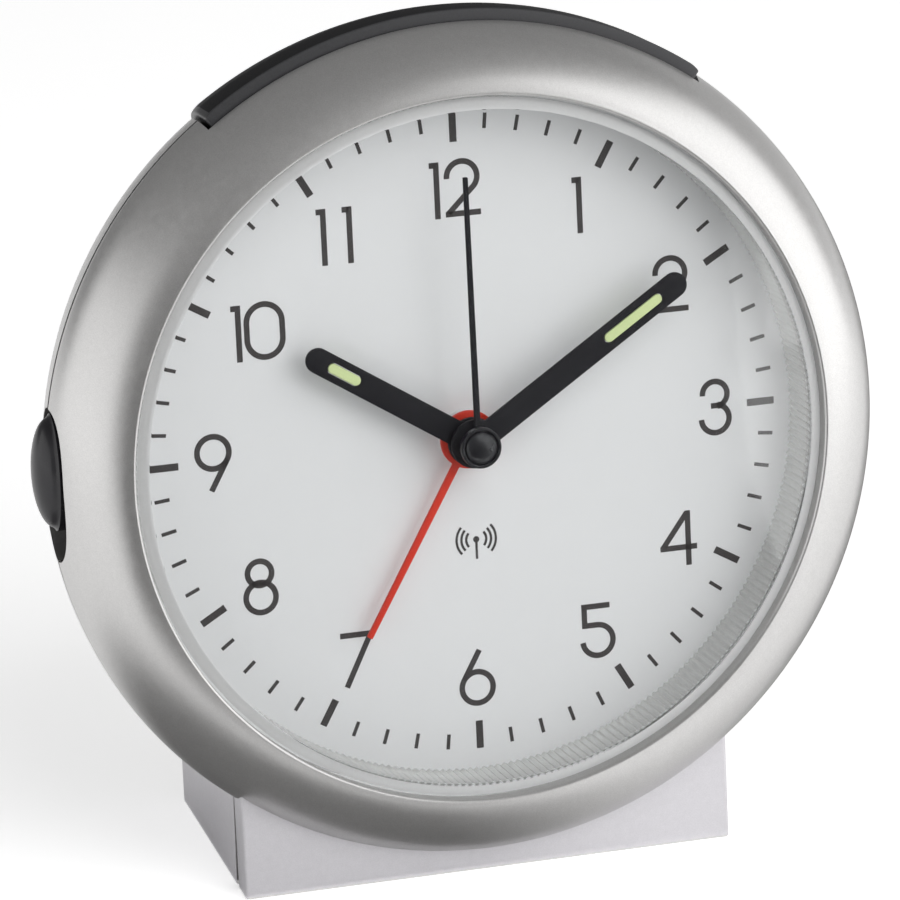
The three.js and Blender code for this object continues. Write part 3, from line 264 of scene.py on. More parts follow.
def skin(rings, looped=False):
    """A surface over closed rings of equally many points, either closed on itself or capped."""
    count = len(rings[0])
    points = [point for ring in rings for point in ring]
    pairs = [(first, first + 1) for first in range(len(rings) - 1)]
    caps = []
    if looped:
        pairs.append((len(rings) - 1, 0))
    else:
        last = (len(rings) - 1) * count
        caps = [list(range(count)), list(range(last, last + count))]
    sides = [
        [a * count + i, a * count + (i + 1) % count, b * count + (i + 1) % count, b * count + i]
        for a, b in pairs
        for i in range(count)
    ]
    return points, sides + caps


def gathered(parts):
    """Several surfaces as one list of points and one of faces."""
    points, faces = [], []
    for part_points, part_faces in parts:
        start = len(points)
        points.extend(part_points)
        faces.extend([start + index for index in face] for face in part_faces)
    return points, faces


def placed(name, data):
    made = bpy.data.objects.new(name, data)
    bpy.context.scene.collection.objects.link(made)
    return made


def solid(points, faces):
    """A working object with its faces pointing out."""
    mesh = bpy.data.meshes.new("work")
    mesh.from_pydata([tuple(point) for point in points], [], faces)
    shape = bmesh.new()
    shape.from_mesh(mesh)
    bmesh.ops.recalc_face_normals(shape, faces=shape.faces)
    shape.to_mesh(mesh)
    shape.free()
    return placed("work", mesh)


def turns(steps):
    return [2 * pi * step / steps for step in range(steps)]


def polar(r, a, z, at=(0.0, 0.0)):
    return (at[0] + r * cos(a), at[1] + r * sin(a), z)


def turned(profile, steps=TURNED_STEPS, at=(0.0, 0.0), looped=None):
    """A solid turned about z from (radius, z) points: a closed loop, or a line from axis to axis."""
    if looped is None:
        looped = profile[0][0] > TINY
    rings = [[polar(max(r, TINY), a, z, at) for a in turns(steps)] for r, z in profile]
    return solid(*skin(rings, looped))


def cylinder(r, low, high, steps=TURNED_STEPS, at=(0.0, 0.0)):
    return turned([(0, low), (r, low), (r, high), (0, high)], steps, at)


def tube(inner_r, outer_r, low, high):
    return turned([(inner_r, low), (outer_r, low), (outer_r, high), (inner_r, high)], RING_STEPS)


def fluted(profile, wave, count, at=(0.0, 0.0)):
    """A solid turned about z from (radius, z, depth) points, with a wave of that depth repeated round it."""
    rings = []
    for r, z, depth in profile:
        dips = [depth * share for share in wave] * count
        rings.append([polar(r - dip, a, z, at) for dip, a in zip(dips, turns(len(dips)))])
    return solid(*skin(rings))


def swept(profile_at, middle, half_angle, steps=ARC_STEPS):
    """Closed (radius, z) profiles swept about z through an arc, for the shares of the way from -1 to 1."""
    shares = [2 * step / steps - 1 for step in range(steps + 1)]
    rings = [[polar(r, middle + half_angle * share, z) for r, z in profile_at(share)] for share in shares]
    return solid(*skin(rings))


def prism(outline, low, high):
    """An outline in x and y made thick along z."""
    return solid(*skin([[(x, y, z) for x, y in outline] for z in (low, high)]))


def prism_along_x(outline, low, high):
    """An outline in y and z made thick along x."""
    return solid(*skin([[(x, y, z) for y, z in outline] for x in (low, high)]))


def block(low, high):
    outline = [(low[0], low[1]), (high[0], low[1]), (high[0], high[1]), (low[0], high[1])]
    return prism(outline, low[2], high[2])


def arc(x, y, r, start, end, steps=PRINT_STEPS):
    """Points on an arc between two angles in degrees."""
    angles = [radians(start + (end - start) * step / steps) for step in range(steps + 1)]
    return [(x + r * cos(a), y + r * sin(a)) for a in angles]


def rounded_rectangle(x, y, half_x, half_y, r):
    corners = ((1, 1, 0), (-1, 1, 90), (-1, -1, 180), (1, -1, 270))
    return [
        point
        for sx, sy, start in corners
        for point in arc(x + sx * (half_x - r), y + sy * (half_y - r), r, start, start + 90, CORNER_STEPS)
    ]


def bars(x, y, sizes):
    """Outlines with round ends, one above the other about a middle."""
    half_length, half_width = sizes["half_length"], sizes["half_width"]
    lifts = [(index - (sizes["count"] - 1) / 2) * sizes["pitch"] for index in range(sizes["count"])]
    return [rounded_rectangle(x, y + lift, half_length, half_width, half_width * ROUND_END) for lift in lifts]


def soften(made, width, where=None):
    """Rounds the sharp edges, all of them or those at chosen places."""
    shape = bmesh.new()
    shape.from_mesh(made.data)
    edges = [e for e in shape.edges if e.is_manifold and e.calc_face_angle() > SMOOTH_BELOW]
    if where:
        edges = [e for e in edges if where((e.verts[0].co + e.verts[1].co) / 2)]
    bmesh.ops.bevel(shape, geom=edges, offset=width, segments=ROUND_SEGMENTS, profile=0.5, affect="EDGES",
                    clamp_overlap=True)
    shape.to_mesh(made.data)
    shape.free()
    return made


def combined(operation, base, *tools):
    """Joins tools to a working object, cuts them from it or keeps what it shares with them."""
    for tool in tools:
        modifier = base.modifiers.new(operation, "BOOLEAN")
        modifier.operation = operation
        modifier.solver = "EXACT"
        modifier.object = tool
    graph = bpy.context.evaluated_depsgraph_get()
    result = bpy.data.meshes.new_from_object(base.evaluated_get(graph))
    base.modifiers.clear()
    base.data = result
    for tool in tools:
        bpy.data.objects.remove(tool)
    return base


def joined(base, *tools):
    return combined("UNION", base, *tools)


def cut(base, *tools):
    return combined("DIFFERENCE", base, *tools)


def turned_to(made, direction):
    """Turns what is drawn pointing up to a direction on the dial."""
    made.data.transform(Matrix.Rotation(direction - pi / 2, 4, "Z"))
    return made


def show(made, name, material, body, slot, *nodes):
    """Makes a working object a piece of the clock, which rides on a body and stands for CAD nodes."""
    mesh = made.data
    mesh.transform(DIAL)
    mesh.shade_smooth()
    mesh.set_sharp_from_angle(angle=SMOOTH_BELOW)
    mesh.materials.clear()
    mesh.materials.append(material)
    made.name = mesh.name = name
    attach(made, body)
    if nodes:
        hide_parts(*nodes)
    return made


# Materials

NOISE_DETAIL = 4.0
NOISE_RANGE = (0.3, 0.7)  # between which most of the noise lies


def display(*channels):
    """A colour as it shows on a screen, 0 to 255, in the linear values that shaders take."""
    shares = [channel / 255 for channel in channels]
    return [share / 12.92 if share <= 0.04045 else ((share + 0.055) / 1.055) ** 2.4 for share in shares]


def refinish(piece, material, chosen):
    """Gives a further material to the faces that are chosen by their middle on the dial and their normal."""
    piece.data.materials.append(material)
    index = len(piece.data.materials) - 1
    for face in piece.data.polygons:
        if chosen(TO_DIAL @ face.center, face.normal):
            face.material_index = index


def feed(node, inputs):
    """Gives each named input of a shader node a value or the output of another node."""
    for socket, source in inputs.items():
        if isinstance(source, bpy.types.NodeSocket):
            node.id_data.links.new(source, node.inputs[socket])
        else:
            node.inputs[socket].default_value = source


def add_node(tree, kind, inputs=None):
    node = tree.nodes.new(kind)
    feed(node, inputs or {})
    return node


def procedural(name, colour, roughness, metallic=0.0, grain=0.3, mottle=0.05, relief=0.004, spread=0.05,
               stretch=(1.0, 1.0, 1.0), flakes=None, sockets=None):
    """A finish whose colour, gloss and relief vary with a grain of that many millimetres."""
    material = bpy.data.materials.new(name)
    material.use_nodes = True
    tree = material.node_tree
    place = add_node(tree, "ShaderNodeTexCoord").outputs["Object"]
    mapping = add_node(tree, "ShaderNodeMapping", {"Vector": place, "Scale": stretch})
    noise = add_node(tree, "ShaderNodeTexNoise", {
        "Vector": mapping.outputs["Vector"], "Scale": 1 / (grain * MM), "Detail": NOISE_DETAIL,
    }).outputs["Fac"]
    ramp = add_node(tree, "ShaderNodeValToRGB", {"Fac": noise})
    for stop, at, factor in zip(ramp.color_ramp.elements, NOISE_RANGE, (1 - mottle, 1 + mottle)):
        stop.position = at
        stop.color = (*[min(channel * factor, 1.0) for channel in display(*colour)], 1.0)
    tint = ramp.outputs["Color"]
    least, most = NOISE_RANGE
    gloss = add_node(tree, "ShaderNodeMapRange", {
        "Value": noise, "From Min": least, "From Max": most,
        "To Min": max(roughness - spread, 0.0), "To Max": roughness + spread,
    })
    bump = add_node(tree, "ShaderNodeBump", {"Height": noise, "Distance": relief * MM})
    feed(tree.nodes["Principled BSDF"], {
        "Base Color": flaked(tree, tint, place, **flakes) if flakes else tint,
        "Metallic": metallic,
        "Roughness": gloss.outputs["Result"],
        "Normal": bump.outputs["Normal"],
        **(sockets or {}),
    })
    return material


def flaked(tree, tint, place, size, strength):
    """A colour with metal flakes of that many millimetres, each a little lighter or darker."""
    cells = add_node(tree, "ShaderNodeTexVoronoi", {"Vector": place, "Scale": 1 / (size * MM)})
    light = add_node(tree, "ShaderNodeMapRange", {
        "Value": cells.outputs["Color"], "To Min": 1 - strength, "To Max": 1 + strength,
    })
    mix = add_node(tree, "ShaderNodeMix")
    mix.data_type = "RGBA"
    mix.blend_type = "MULTIPLY"
    feed(mix, {"Factor": 1.0, "A": tint, "B": light.outputs["Result"]})
    return mix.outputs["Result"]


SILVER = procedural("silver_paint", (205, 204, 203), 0.36, metallic=0.85, grain=0.9, mottle=0.02,
                    relief=0.0006, spread=0.03, flakes={"size": 0.07, "strength": 0.10})
SILVER_FLAT = procedural("silver_paint_flat", (216, 214, 218), 0.5, metallic=0.2, grain=0.9, mottle=0.02,
                         relief=0.0006, spread=0.03, flakes={"size": 0.07, "strength": 0.06})
CLEAR = procedural("clear_plastic", (250, 252, 252), 0.03, grain=2.5, mottle=0.005, relief=0.0,
                   spread=0.02, sockets={"Transmission Weight": 1.0, "IOR": 1.49})
FROSTED = procedural("frosted_plastic", (222, 223, 223), 0.45, grain=0.35, mottle=0.02, spread=0.06,
                     sockets={"Transmission Weight": 0.5, "IOR": 1.49})
RIBBED = procedural("ribbed_plastic", (236, 236, 234), 0.2, grain=0.5, mottle=0.01, relief=0.0,
                    sockets={"Transmission Weight": 0.45, "IOR": 1.49})
DIAL_PAINT = procedural("dial_paint", (232, 232, 233), 0.5, metallic=0.12, grain=0.25, mottle=0.012,
                        relief=0.001, flakes={"size": 0.06, "strength": 0.03})
PRINT_INK = procedural("dial_print", (62, 58, 58), 0.55, grain=0.12, mottle=0.1, relief=0.002)
BLACK = procedural("black_plastic", (56, 56, 58), 0.42, grain=0.22, mottle=0.12, relief=0.006)
# a darker copy of the black plastic: painted shade on the snooze bar's top, the slider's recess floor and the dark
# strip in the seam
BLACK_PAINTED_SHADE = procedural("black_plastic_painted_shade", (26, 26, 28), 0.55, grain=0.22, mottle=0.12, relief=0.006,
                       sockets={"Specular IOR Level": 0.2})
GLOSS = procedural("gloss_black", (30, 29, 33), 0.3, grain=1.2, mottle=0.1, relief=0.0, spread=0.03)
HAND_BLACK = procedural("hand_black", (27, 26, 30), 0.55, grain=0.1, mottle=0.12, relief=0.002,
                        sockets={"Specular IOR Level": 0.25})
HAND_RED = procedural("hand_red", (212, 50, 28), 0.48, grain=0.1, mottle=0.06, relief=0.002)
LUME = procedural("lume_paint", (208, 222, 164), 0.75, grain=0.08, mottle=0.08, relief=0.006)
STEEL = procedural("steel", (196, 198, 202), 0.3, metallic=1.0, grain=0.15, mottle=0.05,
                   relief=0.001, stretch=(1.0, 6.0, 1.0))
WRAP = procedural("cell_wrap", (120, 126, 134), 0.32, metallic=0.3, grain=0.6, mottle=0.06,
                  relief=0.001, stretch=(0.2, 1.0, 1.0))
INSIDE = {
    "black_plastic": BLACK,
    "steel": STEEL,
    "white_nylon": procedural("white_nylon", (233, 230, 220), 0.5, grain=0.4, mottle=0.03),
    "case_grey": procedural("case_grey", (60, 63, 68), 0.55, mottle=0.08),
    "magnet_grey": procedural("magnet_grey", (85, 86, 90), 0.4, metallic=0.8, grain=0.2),
    "copper": procedural("copper", (184, 106, 62), 0.4, metallic=0.9, grain=0.1, mottle=0.15,
                         stretch=(8.0, 1.0, 1.0)),
    "board_green": procedural("board_green", (47, 106, 69), 0.5, grain=0.5, mottle=0.1),
    "chip_black": procedural("chip_black", (30, 30, 32), 0.55, grain=0.15, mottle=0.1),
    "ferrite": procedural("ferrite", (58, 56, 56), 0.6, grain=0.2, mottle=0.12),
    "brass": procedural("brass", (200, 166, 92), 0.32, metallic=1.0, grain=0.2, mottle=0.06),
}


# Shells

def fullness_arc(inner_r, base_z, width, rise, fullness, steps):
    """A quarter curve from radius inner_r + width at base_z to radius inner_r at base_z + rise."""
    points = []
    for step in range(steps + 1):
        turn = step / steps * pi / 2
        across = max(cos(turn), 0.0) ** (2 / fullness)
        along = sin(turn) ** (2 / fullness)
        points.append((inner_r + width * across, base_z + rise * along))
    return points


def bowl_radius(depth):
    """Radius of the domed back at a depth behind the seam."""
    share = min(depth / (SEAM_Z - BACK_Z), 1.0) ** BOWL_FULLNESS
    return BACK_FLAT_R + (REAR_R - BACK_FLAT_R) * (1 - share) ** (1 / BOWL_FULLNESS)


def floor_y(z):
    """Where the table lies below the dial's centre at a depth."""
    return -(DIAL_CENTRE.z / MM + z * DIAL_Z.z) / DIAL_Y.z


def foot_block(half, back, front, top, lift=0.0, front_low=None, front_top=None):
    """The block of the foot. Its front may slant back below a height, which opens the seam."""
    low = front if front_low is None else front_low
    outline = [(floor_y(back) + lift, back), (floor_y(low) + lift, low)]
    if front_top is not None:
        outline.append((front_top, front))
    outline += [(top, front), (top, back)]
    return prism_along_x(outline, -half, half)


def bar_profile(gap, travel, lowered=0.0):
    """The snooze bar's section from front to back, grown by a gap and sunk for its travel."""
    front = bar_high.z + gap
    back_depth = SEAM_Z - bar_low.z + gap
    depths = [back_depth * step / CURVE_STEPS for step in range(CURVE_STEPS + 1)]
    outside = [(RIM_R, front)] + [(bowl_radius(depth), SEAM_Z - depth) for depth in depths]
    top = []
    for r, z in outside:
        proud = BAR_FRONT_PROUD if z > SEAM_Z - TINY else BAR_PROUD
        top.append((r + proud + gap - lowered, z))
    under = [(r - BAR_SINK - gap - travel, z) for r, z in outside]
    return top + under[::-1]


def bar_opening():
    side_gap = (BAR_GAP / 2 + BAR_TRAVEL * sin(BAR_HALF_ANGLE)) / RIM_R
    profile = bar_profile(BAR_GAP, BAR_TRAVEL)
    return swept(lambda share: profile, pi / 2, BAR_HALF_ANGLE + side_gap)


def oval(half_length, half_width, middle_y, fullness=2.0):
    """An oval in y and z on the side of the body, fuller than an ellipse where fullness is above 2."""
    points = []
    for turn in turns(TURNED_STEPS):
        parts = (cos(turn), sin(turn))
        along, across = [copysign(abs(part) ** (2 / fullness), part) for part in parts]
        points.append((middle_y + half_length * along, SEAM_Z + half_width * across))
    return points


def slider_opening():
    half_length = SLIDER_HALF_LENGTH + SLIDER_TRAVEL / 2 + SLIDER_END_GAP
    half_width = SLIDER_HALF_WIDTH + SLIDER_SIDE_GAP
    outline = oval(half_length, half_width, SLIDER_Y, OPENING_FULLNESS)
    return prism_along_x(outline, -FAR, track_low.x)


def finish_foot(piece):
    """The flat faces of the foot carry a flatter paint than the ring and the bowl."""
    to_axes = DIAL_AXES.to_3x3().transposed()

    def is_flat(middle, normal):
        facing = to_axes @ normal
        at_front = abs(middle.z - FOOT_FRONT_Z) < TINY and facing.z > FOOT_FLAT["front"]
        at_edge = FOOT_HALF - FOOT_ROUND - TINY < abs(middle.x) < FOOT_HALF + TINY
        at_side = at_edge and abs(facing.y) < FOOT_FLAT["side"]
        return middle.y < FOOT_TOP_Y and middle.z < FOOT_FRONT_Z + TINY and (at_side or at_front)

    refinish(piece, SILVER_FLAT, is_flat)


def front_frame():
    face = fullness_arc(WINDOW_R, 0.0, RIM_R - WINDOW_R, LIP_Z, RING_FULLNESS, FACE_STEPS)
    lip_z = LIP_Z - LIP_WALL
    hollow_r = RIM_R - WALL
    hollow = fullness_arc(SKIRT_OUTER_R, 0.0, hollow_r - SKIRT_OUTER_R, lip_z, RING_FULLNESS, HOLLOW_STEPS)
    ring = turned(
        [
            (RIM_R - SEAM_ROUND, FRAME_BACK),
            *[(r, z) for r, z in face if r > WINDOW_R + EDGE_ROUND],
            *arc(WINDOW_R + EDGE_ROUND, LIP_Z - EDGE_ROUND, EDGE_ROUND, 90, 180, CORNER_STEPS),
            (WINDOW_R, lip_z),
            (SKIRT_INNER_R, lip_z),
            (SKIRT_INNER_R, FRAME_BACK),
            (SKIRT_OUTER_R, FRAME_BACK),
            *hollow[::-1],
            (hollow_r, FRAME_BACK),
        ],
        RING_STEPS,
    )
    foot = foot_block(FOOT_HALF, FRAME_BACK, FOOT_FRONT_Z, FOOT_TOP_Y)
    soften(foot, FOOT_ROUND, where=lambda middle: middle.z > FRAME_BACK + SEAM_EDGE)
    soften(foot, SEAM_EDGE)
    inside = foot_block(FOOT_HALF - WALL, FRAME_BACK - WALL, FOOT_FRONT_Z - WALL, FOOT_TOP_Y + WALL, WALL)
    joined(ring, cut(foot, inside, cylinder(RIM_R - WALL / 2, -FAR, FAR, RING_STEPS)))
    cut(ring, bar_opening(), slider_opening())
    finish_foot(show(ring, "ring_and_front_foot", SILVER, "housing", "silver_paint", "front_frame"))


def bowl(radius, front, back, steps):
    curve = fullness_arc(BACK_FLAT_R, SEAM_Z, radius - BACK_FLAT_R, back - SEAM_Z, BOWL_FULLNESS, steps)
    behind = [(r, z) for r, z in curve if z < front]
    return turned([(0, front), (radius, front), *behind, (0, back)], RING_STEPS // 2)


def hole(r, inner_z, at, mouth=MOUTH):
    """A round cutter from behind the back to a depth, with a chamfered mouth at the flat back."""
    wide = r + mouth
    profile = [(0, -FAR), (wide, -FAR), (wide, BACK_Z), (r, BACK_Z + mouth), (r, inner_z), (0, inner_z)]
    return turned(profile, SMALL_STEPS * 2, at)


def cover_block(grow, inner_z):
    """A block from behind the back to a depth, grown from the size of the battery cover."""
    half_x, half_y = COVER_HALF[0] + grow, COVER_HALF[1] + grow
    return block((-half_x, COVER_Y - half_y, -FAR), (half_x, COVER_Y + half_y, inner_z))


def back_openings():
    through_z = BACK_Z + WALL + PAST
    cutters = [hole(KNOB_R + KNOB_GAP, BACK_Z + KNOB_POCKET_DEPTH, KNOB_AT)]
    for name in BUTTONS:
        cutters.append(hole(BUTTON_R + BUTTON_GAP, through_z, dial_middle(name).xy, MOUTH / 2))
    for outline in bars(SOUND_SLOT["x"], SOUND_SLOT["y"], SOUND_SLOT):
        cutters.append(prism(outline, -FAR, through_z))
    head_r = SCREW["head_r"] + SCREW["gap"]
    profile = [(0, -FAR), (head_r, -FAR), (head_r, SCREW_SEAT_Z), (SCREW_HOLE_R, SCREW_SEAT_Z)]
    profile += [(SCREW_HOLE_R, FAR), (0, FAR)]
    for name in SCREWS:
        cutters.append(turned(profile, SMALL_STEPS, dial_middle(name).xy))
    half_x, half_y = COVER_HALF
    recess = rounded_rectangle(0, COVER_Y, half_x + COVER_GAP, half_y + COVER_GAP, COVER_CORNER)
    cutters.append(prism(recess, -FAR, cover_high.z + COVER_GAP))
    cutters.append(cover_block(-TRAY_INSET, cell_high.z + CELL["gap"]))
    return cutters


def back_fittings():
    """The walls round the knob, the cell and the screws, which end inside the shell's wall."""
    pocket_r = KNOB_R + KNOB_GAP + POCKET_WALL
    pocket_z = BACK_Z + KNOB_POCKET_DEPTH + POCKET_WALL
    walls = cylinder(pocket_r, -FAR, pocket_z, SMALL_STEPS, KNOB_AT)
    tray = cover_block(TRAY_WALL, cell_high.z + TRAY_WALL)
    bosses = [cylinder(SCREW_BOSS_R, -FAR, FAR, SMALL_STEPS, dial_middle(name).xy) for name in SCREWS]
    return combined("INTERSECT", joined(walls, tray, *bosses), rear_outside(WALL / 2))


def rear_outside(inset=0.0):
    front, back = REAR_FRONT - SEAM_OPEN - inset, BACK_Z + inset
    low_front = front - FOOT_SEAM_OPEN
    foot = foot_block(FOOT_HALF - inset, back, front, FOOT_TOP_Y, inset, low_front, FOOT_SEAM_TOP_Y)
    soften(foot, FOOT_ROUND, where=lambda middle: middle.z < low_front - SEAM_EDGE)
    return joined(bowl(REAR_R - inset, front, back, FACE_STEPS), soften(foot, SEAM_EDGE))


def rear_housing():
    shell = rear_outside()
    room = bowl(REAR_R - WALL, REAR_FRONT + WALL, BACK_Z + WALL, FACE_STEPS // 2)
    foot_back = BACK_Z + WALL + APART
    foot_room = foot_block(FOOT_HALF - WALL, foot_back, REAR_FRONT + 2 * WALL, FOOT_TOP_Y - WALL, WALL)
    cut(shell, joined(room, foot_room))
    joined(shell, back_fittings())
    cut(shell, *back_openings(), bar_opening(), slider_opening())
    finish_foot(show(shell, "rear_shell", SILVER, "housing", "silver_paint", "rear_housing"))


def seam_shade_strip():
    """A dark strip sunk in the seam between the two shells, round the body and the foot: painted shade that makes
    the open seam look dark.
    """
    outer_r = RIM_R - SHADE_STRIP_DEPTH
    inner_r = outer_r - SHADE_STRIP_WIDTH
    back = REAR_FRONT - SEAM_OPEN
    shade_strip = tube(inner_r, outer_r, back, FRAME_BACK)
    reach = FOOT_HALF - SHADE_STRIP_DEPTH
    foot_back = back - FOOT_SEAM_OPEN
    foot = foot_block(reach, foot_back, FRAME_BACK, FOOT_TOP_Y, SHADE_STRIP_DEPTH)
    room_back, room_front = foot_back - PAST, FRAME_BACK + PAST
    room_lift = SHADE_STRIP_DEPTH + SHADE_STRIP_WIDTH
    room = foot_block(reach - SHADE_STRIP_WIDTH, room_back, room_front, FOOT_TOP_Y + PAST, room_lift)
    joined(shade_strip, cut(foot, room, cylinder(inner_r, -FAR, FAR, RING_STEPS)))
    cut(shade_strip, bar_opening(), slider_opening())
    show(shade_strip, "seam_shade_strip", BLACK_PAINTED_SHADE, "housing", "black_plastic")


# Crystal and dial

def crystal():
    """A flat lens with a frosted slope round it, on a skirt that is ribbed inside."""
    inner_z = LENS_Z - LENS_WALL
    slope_r = LENS_R - LENS_BEVEL
    profile = [
        (TINY, LENS_Z, 0),
        (slope_r - LENS_EDGE, LENS_Z, 0),
        (slope_r, LENS_Z, 0),
        (LENS_R, LENS_Z - LENS_BEVEL_DROP, 0),
        (LENS_R, SHOULDER_Z, 0),
        (SHOULDER_R, SHOULDER_Z, 0),
        (SHOULDER_R, crystal_low.z, 0),
        (RIB_R, crystal_low.z, RIB_DEPTH),
        (RIB_R, inner_z - RIB_TOP, RIB_DEPTH),
        (RIB_R - RIB_TOP / 2, inner_z, 0),
        (TINY, inner_z, 0),
    ]

    def on_slope(middle, normal):
        return slope_r < middle.xy.length < LENS_R - TINY and middle.z > SHOULDER_Z

    def on_ribs(middle, normal):
        ribbed = RIB_R - RIB_DEPTH - TINY < middle.xy.length < RIB_R + TINY and middle.z < inner_z
        return ribbed and not on_slope(middle, normal)

    front = fluted(profile, RIB_WAVE, RIB_COUNT)
    show(front, "clear_front", CLEAR, "housing", "clear_plastic", "crystal")
    refinish(front, FROSTED, on_slope)
    refinish(front, RIBBED, on_ribs)
    front.visible_shadow = False
    front.visible_diffuse = False


def dial():
    plate = tube(DIAL_HOLE_R, dial_high.x, dial_high.z, dial_low.z)
    show(plate, "dial_plate", DIAL_PAINT, "housing", "dial_paint", "dial")


def ribbon(path, width, at=(0.0, 0.0)):
    """A printed stroke along a path, closed where the path ends where it starts."""
    looped = dist(path[0], path[-1]) < TINY
    if looped:
        path = path[:-1]
    path = [Vector(point) for point in path]
    count = len(path)
    rings = []
    for index, point in enumerate(path):
        before = path[index - 1] if index or looped else point
        after = path[(index + 1) % count] if index + 1 < count or looped else point
        along_in, along_out = point - before, after - point
        along = (along_in.normalized() + along_out.normalized()).normalized()
        longest = max(along_in, along_out, key=lambda step: step.length).normalized()
        across = Vector((-along.y, along.x)) * (width / 2 / max(along.dot(longest), MITRE_LEAST))
        middle = point + Vector(at)
        left, right = middle + across, middle - across
        rings.append([(*left, PRINT_LOW), (*right, PRINT_LOW), (*right, PRINT_HIGH), (*left, PRINT_HIGH)])
    return skin(rings, looped)


# Centre lines of the dial's digits, in millimetres about each digit's middle
ZERO = [*arc(0, 1.09, 2.34, 0, 180), *arc(0, -1.09, 2.34, 180, 360)]
SIX = [arc(0, -1.14, 2.1, 0, 360, 40), [(0.43, 3.86), (-1.84, -0.13)]]
DIGITS = {
    "0": [[*ZERO, ZERO[0]]],
    "1": [[(0.05, -3.79), (0.05, 3.56)], [(-0.88, 3.18), (0.05, 3.18)]],
    "2": [[*arc(0.02, 1.42, 2.02, 184, -38, 30), (-1.9, -3.2)], [(-2.3, -3.31), (2.4, -3.31)]],
    "3": [
        arc(0.03, 1.62, 1.69, 184, -80, 28),
        arc(0, -1.62, 1.89, 80, -180, 30),
        [(-0.55, 0.09), (0.35, 0.09)],
    ],
    "4": [[(1.08, -3.76), (1.08, 3.56)], [(-2.78, -1.3), (2.27, -1.3)], [(0.98, 3.3), (-2.45, -1.25)]],
    "5": [
        [(-2.22, 3.2), (1.67, 3.2)],
        [(-1.83, 3.3), (-1.83, 0.33)],
        [(-1.9, 0.68), (-0.2, 0.68), *arc(-0.1, -1.38, 2.06, 86, -175, 30)],
    ],
    "6": SIX,
    "7": [[(-2.22, 3.05), (2.2, 3.05)], [(1.85, 3.0), (-1.6, -3.84)]],
    "8": [arc(-0.04, 1.76, 1.6, 0, 360, 36), arc(0, -1.43, 1.98, 0, 360, 40)],
    "9": [[(-x, 0.15 - y) for x, y in stroke] for stroke in SIX],
}

# Middle of each number on the dial
NUMBERS = {
    "1": (16.4, 28.5), "2": (28.3, 16.8), "3": (33.8, 0.0), "4": (28.4, -17.0), "5": (16.7, -28.0),
    "6": (0.0, -32.6), "7": (-15.9, -27.8), "8": (-28.3, -16.9), "9": (-33.6, 0.0), "10": (-26.9, 16.4),
    "11": (-16.0, 27.7), "12": (0.0, 32.2),
}
PAIR_OFFSETS = {"10": (-2.56, 0.91), "11": (-1.67, 1.76), "12": (-2.5, 0.9)}
WAVE_SIGN = {
    "x": 0.7, "y": -14.0, "mast": 2.6, "ball": 0.42, "radii": (1.35, 2.0, 2.65), "spread": 42, "stroke": 0.32,
}


def number_strokes():
    parts = []
    for number, (x, y) in NUMBERS.items():
        for digit, offset in zip(number, PAIR_OFFSETS.get(number, (0.0,))):
            parts.extend(ribbon(stroke, DIGIT_STROKE, (x + offset, y)) for stroke in DIGITS[digit])
    return parts


def hour_and_minute_marks():
    parts = []
    for minute in range(60):
        mark = MINUTE_MARK if minute % 5 else HOUR_MARK
        turn = radians(90 - 6 * minute)
        path = [(r * cos(turn), r * sin(turn)) for r in (mark["inner"], mark["outer"])]
        parts.append(ribbon(path, mark["width"]))
    return parts


def wave_sign():
    """A mast with a ball on top and radio waves on both sides."""
    at = (WAVE_SIGN["x"], WAVE_SIGN["y"])
    stroke, spread = WAVE_SIGN["stroke"], WAVE_SIGN["spread"]
    parts = [ribbon([(0, 0), (0, -WAVE_SIGN["mast"])], stroke, at)]
    parts.append(ribbon(arc(0, 0, WAVE_SIGN["ball"] / 2, 0, 360), WAVE_SIGN["ball"], at))
    for r in WAVE_SIGN["radii"]:
        for side in (0, 180):
            parts.append(ribbon(arc(0, 0, r, side - spread, side + spread), stroke, at))
    return parts


def dial_print():
    marks = solid(*gathered([*number_strokes(), *hour_and_minute_marks(), *wave_sign()]))
    marks.data.transform(Matrix.Translation((*PRINT_SHIFT, 0)))
    show(marks, "dial_print", PRINT_INK, "housing", "hand_black")


# Hands

def lume_outline(ends, grow):
    r = LUME_HALF + grow
    inner_end = arc(0, ends[0] + LUME_HALF, r, 180, 360, CURVE_STEPS)
    return inner_end + arc(0, ends[1] - LUME_HALF, r, 0, 180, CURVE_STEPS)


def centre_bore(r, low, high):
    """A cutter for the hole in a hub, through which the arbors of the hands above it pass."""
    return cylinder(r, low.z - PAST, high.z + PAST, SMALL_STEPS)


def hub_arc(r, half_width, steps):
    """The outline of a hub, open upwards where a hand of that half width starts."""
    opening = degrees(asin(half_width / r))
    return arc(0, 0, r, 90 - opening, opening - 270, steps)


def baton(name, node, sizes):
    low, high = dial_box(node)
    hub = hub_arc(HAND_HUB_R, HAND_HALF, BATON_HUB_STEPS)
    tip = arc(0, sizes["length"] - HAND_HALF, HAND_HALF, 180, 0, TIP_STEPS)
    hand = soften(prism(hub + tip, low.z, high.z), HAND_ROUND)
    window = prism(lume_outline(sizes["lume"], LUME_GAP), low.z - PAST, high.z + PAST)
    cut(hand, window, centre_bore(sizes["bore"], low, high))
    direction = pointing(node)
    show(turned_to(hand, direction), name, HAND_BLACK, node, "hand_black", node)
    strip = soften(prism(lume_outline(sizes["lume"], 0.0), low.z, high.z - LUME_SINK), HAND_ROUND)
    show(turned_to(strip, direction), name + "_inlay", LUME, node, "lume_paint", node + "_lume")


def needle(name, node, sizes, material, slot):
    low, high = dial_box(node)
    half = sizes["width"] / 2
    tip = half * NEEDLE_TAPER
    hub = hub_arc(sizes["hub"], half, NEEDLE_HUB_STEPS)
    outline = hub + [(-tip, sizes["length"]), (tip, sizes["length"])]
    hand = cut(soften(prism(outline, low.z, high.z), HAND_ROUND), centre_bore(sizes["bore"], low, high))
    show(turned_to(hand, pointing(node)), name, material, node, slot, node)


